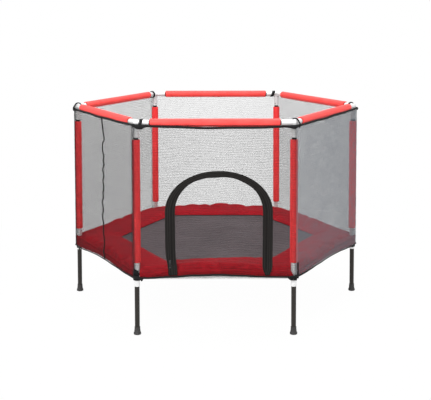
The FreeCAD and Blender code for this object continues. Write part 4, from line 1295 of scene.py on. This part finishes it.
# Folds in the cover's outer face, by side: share of the side and drop below the ridge at both ends,
# half width, and how far it stands out, where a hollow is negative
FOLDS = {
    3: [
        ((0.04, 0.013), (0.38, 0.016), 0.0045, -0.0050), ((0.36, 0.017), (0.97, 0.013), 0.0040, -0.0050),
        ((0.10, 0.024), (0.60, 0.026), 0.0070, 0.0030), ((0.05, 0.034), (0.45, 0.036), 0.0050, -0.0035),
        ((0.62, 0.026), (0.93, 0.028), 0.0090, 0.0040), ((0.88, 0.020), (0.96, 0.042), 0.0050, -0.0040),
    ],
    4: [
        ((0.05, 0.026), (0.20, 0.005), 0.0085, 0.0050), ((0.19, 0.016), (0.13, 0.048), 0.0055, -0.0050),
        ((0.07, 0.044), (0.11, 0.026), 0.0080, 0.0035), ((0.30, 0.010), (0.46, 0.014), 0.0080, -0.0030),
        ((0.50, 0.006), (0.52, 0.044), 0.0160, 0.0045), ((0.42, 0.046), (0.80, 0.028), 0.0045, -0.0055),
        ((0.57, 0.012), (0.80, 0.009), 0.0070, 0.0040), ((0.60, 0.022), (0.78, 0.018), 0.0040, -0.0025),
        ((0.915, 0.002), (0.93, 0.034), 0.0110, -0.0060), ((0.955, 0.026), (0.945, 0.048), 0.0080, 0.0045),
        ((0.24, 0.030), (0.34, 0.040), 0.0080, 0.0030),
    ],
    5: [
        ((0.05, 0.015), (0.55, 0.014), 0.0045, -0.0045), ((0.10, 0.026), (0.50, 0.024), 0.0070, 0.0040),
        ((0.42, 0.033), (0.62, 0.026), 0.0045, -0.0040), ((0.60, 0.018), (0.93, 0.016), 0.0040, -0.0045),
        ((0.62, 0.029), (0.92, 0.028), 0.0065, 0.0035),
    ],
}
# The sides at the back have four long soft folds each, in turn raised and hollow
for side in (0, 1, 2):
    FOLDS[side] = []
    for k in range(4):
        first = (0.06 + 0.2 * k, 0.012 + 0.009 * (k * 7 % 3))
        second = (0.26 + 0.19 * k, 0.014 + 0.008 * (k * 5 % 3))
        FOLDS[side].append((first, second, 0.005 + 0.001 * (k % 3), (0.0035, -0.0045)[(k + side) % 2]))


# How far the cover stands out at a drop below the ridge
def fold_depth(turn, drop):
    side, share = on_side(turn)
    spot = Vector((share * SIDE_LENGTH, drop))
    depth = 0.0
    for first, second, width, height in FOLDS[side]:
        a = Vector((first[0] * SIDE_LENGTH, first[1]))
        b = Vector((second[0] * SIDE_LENGTH, second[1]))
        along = min(1.0, max(0.0, (spot - a).dot(b - a) / (b - a).length_squared))
        near = (spot - a.lerp(b, along)).length
        if near < 3 * width:
            depth += height * math.exp(-((near / width) ** 2))
    return depth * min(1.0, share / 0.03, (1 - share) / 0.03)


# Folds fade out towards the pad's floor
def above_floor(height):
    return smooth_step(height, PAD_FLOOR + 0.002, PAD_FLOOR + 0.010)


# The pad's outline at a turn, from its inner rim over the top and the outer edge back along its floor
def pad_section(turn):
    ridge = ridge_height(turn)
    inner, outer = PAD_INNER_EDGE, PAD_OUTER_EDGE
    section = [(inner + 0.002, PAD_FLOOR + 0.0005), (inner, PAD_FLOOR + 0.0025)]
    rim, rim_top = inner + 0.002, PAD_FLOOR + 0.0050
    fall = min(0.016, ridge - PAD_FLOOR - 0.0035)
    for share in steps(0, 1, 17):
        height = rim_top + (ridge - rim_top) * share**1.5
        section.append((rim + (PAD_CREST - rim) * share, height + 0.002 * math.sin(math.pi * share)))
    for bend in steps(0, math.pi / 2, 5)[1:]:
        offset = PAD_CREST + (outer - PAD_CREST) * math.sin(bend)
        section.append((offset, ridge - fall * (1 - math.cos(bend))))
    section += [(outer, PAD_FLOOR + 0.002), (outer - 0.002, PAD_FLOOR)]
    section += [(offset, PAD_FLOOR) for offset in steps(outer - 0.012, inner + 0.010, 14)]
    squeeze = (pad_limit(turn) - inner) / (outer - inner)
    shaped = []
    for offset, height in section:
        share = smooth_step(offset, -0.022, 0.004) * above_floor(height)
        depth = fold_depth(turn, ridge - height) * share
        shaped.append((inner + (offset - inner) * squeeze + depth, height + 0.5 * depth))
    return shaped


# How far the inner rim lies from its place at each corner, to the right and to the back
RIM_SHIFTS = [(0.006, 0.0), (0.0, 0.0), (0.0, 0.0), (0.014, -0.026), (0.022, -0.027), (0.020, 0.028)]


def rim_shift(turn, offset):
    side, share = on_side(turn)
    shift = Vector(RIM_SHIFTS[side]).lerp(Vector(RIM_SHIFTS[(side + 1) % 6]), share)
    return shift.to_3d() * smooth_step(-offset, 0.020, -PAD_INNER_EDGE)


# Turns of the pad's sections, close together near the posts, at these distances in metres
POST_STEPS = [0, 0.004, 0.008, 0.0115, 0.0138, 0.0146, 0.019, 0.026]


def pad_columns():
    shares = {distance / CORNER_RADIUS for distance in POST_STEPS}
    shares |= {1 - share for share in shares if share > 0}
    shares |= {share for share in steps(0, 1, 60) if 0.045 < share < 0.955}
    turns = [round(side + share, 6) for side in range(6) for share in shares]
    return sorted(set(turns)) + [6.0]


PUFF_STEPS = 20
PUFF_CAP = 0.010
PUFF_SETTINGS = {
    "quality": 6, "mass": 0.15, "tension_stiffness": 10, "compression_stiffness": 10,
    "shear_stiffness": 4, "bending_stiffness": 0.15, "use_pressure": True,
    "uniform_pressure_force": 4.0, "shrink_min": -0.05,
}


def cloth_shape(piece):
    seen = piece.evaluated_get(bpy.context.evaluated_depsgraph_get())
    places = [point.co.copy() for point in seen.to_mesh().vertices]
    seen.to_mesh_clear()
    return places


# Cloth blown up a little from inside; no point may travel further than the cap
def puff(piece, held):
    group = piece.vertex_groups.new(name="held")
    group.add(held, 1.0, "REPLACE")
    cloth = piece.modifiers.new("cloth", "CLOTH")
    for name, value in PUFF_SETTINGS.items():
        setattr(cloth.settings, name, value)
    cloth.settings.vertex_group_mass = group.name
    cloth.settings.effector_weights.gravity = 0
    cloth.point_cache.frame_end = PUFF_STEPS
    for number in range(1, PUFF_STEPS + 1):
        bpy.context.scene.frame_set(number)
    after = cloth_shape(piece)
    piece.modifiers.remove(cloth)
    piece.vertex_groups.remove(group)
    bpy.context.scene.frame_set(1)
    for point, new in zip(piece.data.vertices, after):
        move = new - point.co
        if move.length > PUFF_CAP:
            move *= PUFF_CAP / move.length
        point.co += move


def level_of(point):
    return Vector((point.co.x, point.co.y, 0))


# Points that the swelling leaves in place: the floor, the notches round the posts and the inner rim
def held_points(pad, posts):
    held = []
    for point in pad.data.vertices:
        level = level_of(point)
        rim = max(level.dot(outward(side)) for side in range(6)) - CORNER_RADIUS * COS_30
        on_floor = point.co.z < PAD_FLOOR + 0.0002
        on_rim = point.co.z < PAD_FLOOR + 0.0055 and rim < -0.1
        if on_floor or on_rim or min((level - post).length for post in posts) < 0.017:
            held.append(point.index)
    return held


# Puts back what the swelling pushed into a post, past the outer edge or through the floor
def trim_pad(pad, posts):
    for point in pad.data.vertices:
        level = level_of(point)
        for post in posts:
            away = level - post
            if away.length < POST_NOTCH:
                point.co.x, point.co.y = (post + away.normalized() * POST_NOTCH).xy
        side = max(range(6), key=lambda number: level.dot(outward(number)))
        across = level.dot(outward(side))
        share = 0.5 + level.dot(UP.cross(outward(side))) / CORNER_RADIUS
        turn = side + min(0.999, max(0.001, share))
        limit = CORNER_RADIUS * COS_30 + PAD_OUTER_EDGE + 0.0004
        limit += fold_depth(turn, ridge_height(turn) - point.co.z) * above_floor(point.co.z)
        if across > limit:
            point.co.x *= limit / across
            point.co.y *= limit / across
        point.co.z = max(point.co.z, PAD_FLOOR)


def make_pad_ring():
    turns = pad_columns()
    points, flat = [], []
    for turn in turns:
        section = pad_section(turn)
        run, last = 0.0, section[0]
        for offset, height in section:
            run += math.hypot(offset - last[0], height - last[1])
            last = (offset, height)
            points.append(pad_place(turn, height, offset) + rim_shift(turn, offset))
            flat.append((turn * SIDE_LENGTH, run))
    faces = grid_faces(len(turns), len(section), True)
    pad = make_piece("safety_pad", points, faces, "pad_cover", flat)
    posts = [corner_at(corner, CORNER_RADIUS) for corner in range(6)]
    puff(pad, held_points(pad, posts))
    trim_pad(pad, posts)
    smooth = pad.modifiers.new("smooth", "SUBSURF")
    smooth.levels = 1
    smooth.render_levels = 1
    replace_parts(pad, "pad")


make_pad_ring()


# Skirts: cloth flaps under the pad's outer edge, two of which go on round a post

SKIRT_OFFSET = 0.0148
SKIRT_TUCK = 0.0130
SKIRT_THICKNESS = 0.0008
SKIRT_ROWS = 14
SKIRT_FOOT = 0.0025
# Each skirt: its first and last corner, how far past the one it begins and before the other it ends,
# and how much further back the top of its last end stands
SKIRTS = [
    (1, 2, 0.037, 0.037, 0.0), (2, 4, 0.037, 0.028, 0.0), (4, 5, 0.038, 0.018, 0.022),
    (5, 7, 0.032, 0.037, 0.0),
]


# How far a skirt stands out: its own waves, and the pad's folds above where they reach down to it
def skirt_fold(turn, height):
    share = on_side(turn)[1]
    wave = rumple(turn * 17.0 + height * 30, height * 22.0, 5.2)
    long = rumple(turn * 5.0, height * 60.0, 9.1)
    waves = math.sin(math.pi * share) ** 0.5 * (0.0011 * wave + 0.0007 * long)
    depth = fold_depth(turn, ridge_height(turn) - height)
    if depth > 0:
        return waves + min(depth, 0.0012 + foot_swing(turn, height))
    return waves + depth * smooth_step(height, 0.280, 0.292)


def skirt_top(turn):
    return max(ridge_height(turn) - 0.014, PAD_FLOOR + 0.006)


def skirt_place(along, height, offset):
    turn = (along / SIDE_LENGTH) % 6
    tuck = smooth_step(skirt_top(turn) - height, 0, 0.008)
    fold = skirt_fold(turn, height)
    fold *= tuck if fold > 0 else max(tuck, above_floor(height))
    reach = SKIRT_TUCK + (SKIRT_OFFSET - SKIRT_TUCK) * tuck + fold
    return wall_place(turn, height, reach + offset, lean=False)


def make_skirts():
    for number, (first, last, past, before, slant) in enumerate(SKIRTS):
        low, high = first + past, last - before
        turns = steps(low, high, 90 * (last - first))
        for corner in range(first + 1, last):
            turns += [corner + bend for bend in steps(-CORNER_SHARE, CORNER_SHARE, 8)]
        turns = sorted(set(round(turn, 6) for turn in turns))
        points, drops = [], []
        for turn in turns:
            top, edge = skirt_top(turn % 6), edge_height(turn % 6)
            back = slant * smooth_step(turn, high - 0.08, high)
            for k, height in enumerate(steps(edge + SKIRT_FOOT, top, SKIRT_ROWS)):
                points.append(((turn - back * k / SKIRT_ROWS) * SIDE_LENGTH, height))
            drops.append(top - edge - SKIRT_FOOT)
        flat = Flat()
        flat.patch(points, grid_faces(len(turns), SKIRT_ROWS + 1))
        skirt = make_cloth(f"pad_skirt_{number}", flat, skirt_place, 0.0, SKIRT_THICKNESS, "pad_cover")
        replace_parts(skirt, "pad_skirt")


make_skirts()


# Camera, light and ground

CAMERA_PLACE = Vector((0.012, -4.292, 1.458))
CAMERA_TURN = (0.165, 90 - 12.89, -0.120)
CAMERA_LENS = 73.26


def make_camera():
    data = bpy.data.cameras.new("camera")
    data.lens = CAMERA_LENS
    camera = bpy.data.objects.new("camera", data)
    bpy.context.scene.collection.objects.link(camera)
    turn = Matrix.Identity(4)
    for angle, axis in zip(CAMERA_TURN, "ZXZ"):
        turn = turn @ Matrix.Rotation(math.radians(angle), 4, axis)
    camera.matrix_world = Matrix.Translation(CAMERA_PLACE) @ turn
    bpy.context.scene.camera = camera


def make_lamp(name, place, target, width, power):
    data = bpy.data.lights.new(name, "AREA")
    data.size = width
    data.energy = power
    lamp = bpy.data.objects.new(name, data)
    lamp.location = place
    lamp.rotation_mode = "QUATERNION"
    lamp.rotation_quaternion = (Vector(target) - Vector(place)).to_track_quat("-Z", "Y")
    bpy.context.scene.collection.objects.link(lamp)


# White to the camera and in reflections, a soft grey as a light
def seen_directly(tree):
    path = add(tree, "LightPath")
    seen = maths(tree, "MAXIMUM", path.outputs["Is Camera Ray"], path.outputs["Is Glossy Ray"])
    return maths(tree, "MAXIMUM", seen, path.outputs["Is Transmission Ray"])


def make_world(strength):
    world = bpy.data.worlds.new("studio")
    bpy.context.scene.world = world
    world.use_nodes = True
    tree = world.node_tree
    tree.nodes.clear()
    soft = add(tree, "Background", {"Color": colour(1, 1, 1), "Strength": strength})
    white = add(tree, "Background", {"Color": colour(1, 1, 1), "Strength": 1.0})
    both = add(tree, "MixShader", {0: seen_directly(tree), 1: soft.outputs[0], 2: white.outputs[0]})
    add(tree, "OutputWorld", {"Surface": both.outputs[0]})


# A pale floor, which holds a faint shadow near the object and fades to white further out
def make_floor():
    tree = new_finish("floor")
    place = add(tree, "TexCoord").outputs["Object"]
    far = add(tree, "VectorMath", {0: place}, operation="LENGTH").outputs["Value"]
    plain = add(tree, "BsdfDiffuse", {"Color": colour(0.86, 0.86, 0.86)})
    white = add(tree, "Emission", {"Color": colour(1, 1, 1), "Strength": 1.0})
    share = span(tree, far, 0.7, 1.9, 0.985, 1.0)
    share = maths(tree, "MULTIPLY", share, seen_directly(tree))
    both = add(tree, "MixShader", {0: share, 1: plain.outputs[0], 2: white.outputs[0]})
    add(tree, "OutputMaterial", {"Surface": both.outputs[0]})
    bpy.ops.mesh.primitive_grid_add(x_subdivisions=2, y_subdivisions=2, size=40)
    floor = bpy.context.object
    floor.name = "floor"
    floor.data.materials.append(FINISHES["floor"])


make_camera()
make_world(0.55)
make_lamp("key", (-1.3, -3.6, 3.2), (0, 0, 0.5), 1.8, 150)
make_lamp("side", (3.4, -0.9, 1.5), (0, 0, 0.6), 1.6, 18)
make_lamp("top", (0.2, 0.4, 3.6), (0, 0, 0.4), 2.4, 85)
make_floor()


# Finish of the construction's own pieces, whose materials are named after their slots

for item in frame["nodes"].values():
    for holder in item.material_slots:
        holder.material = FINISHES.get(holder.material.name, holder.material)
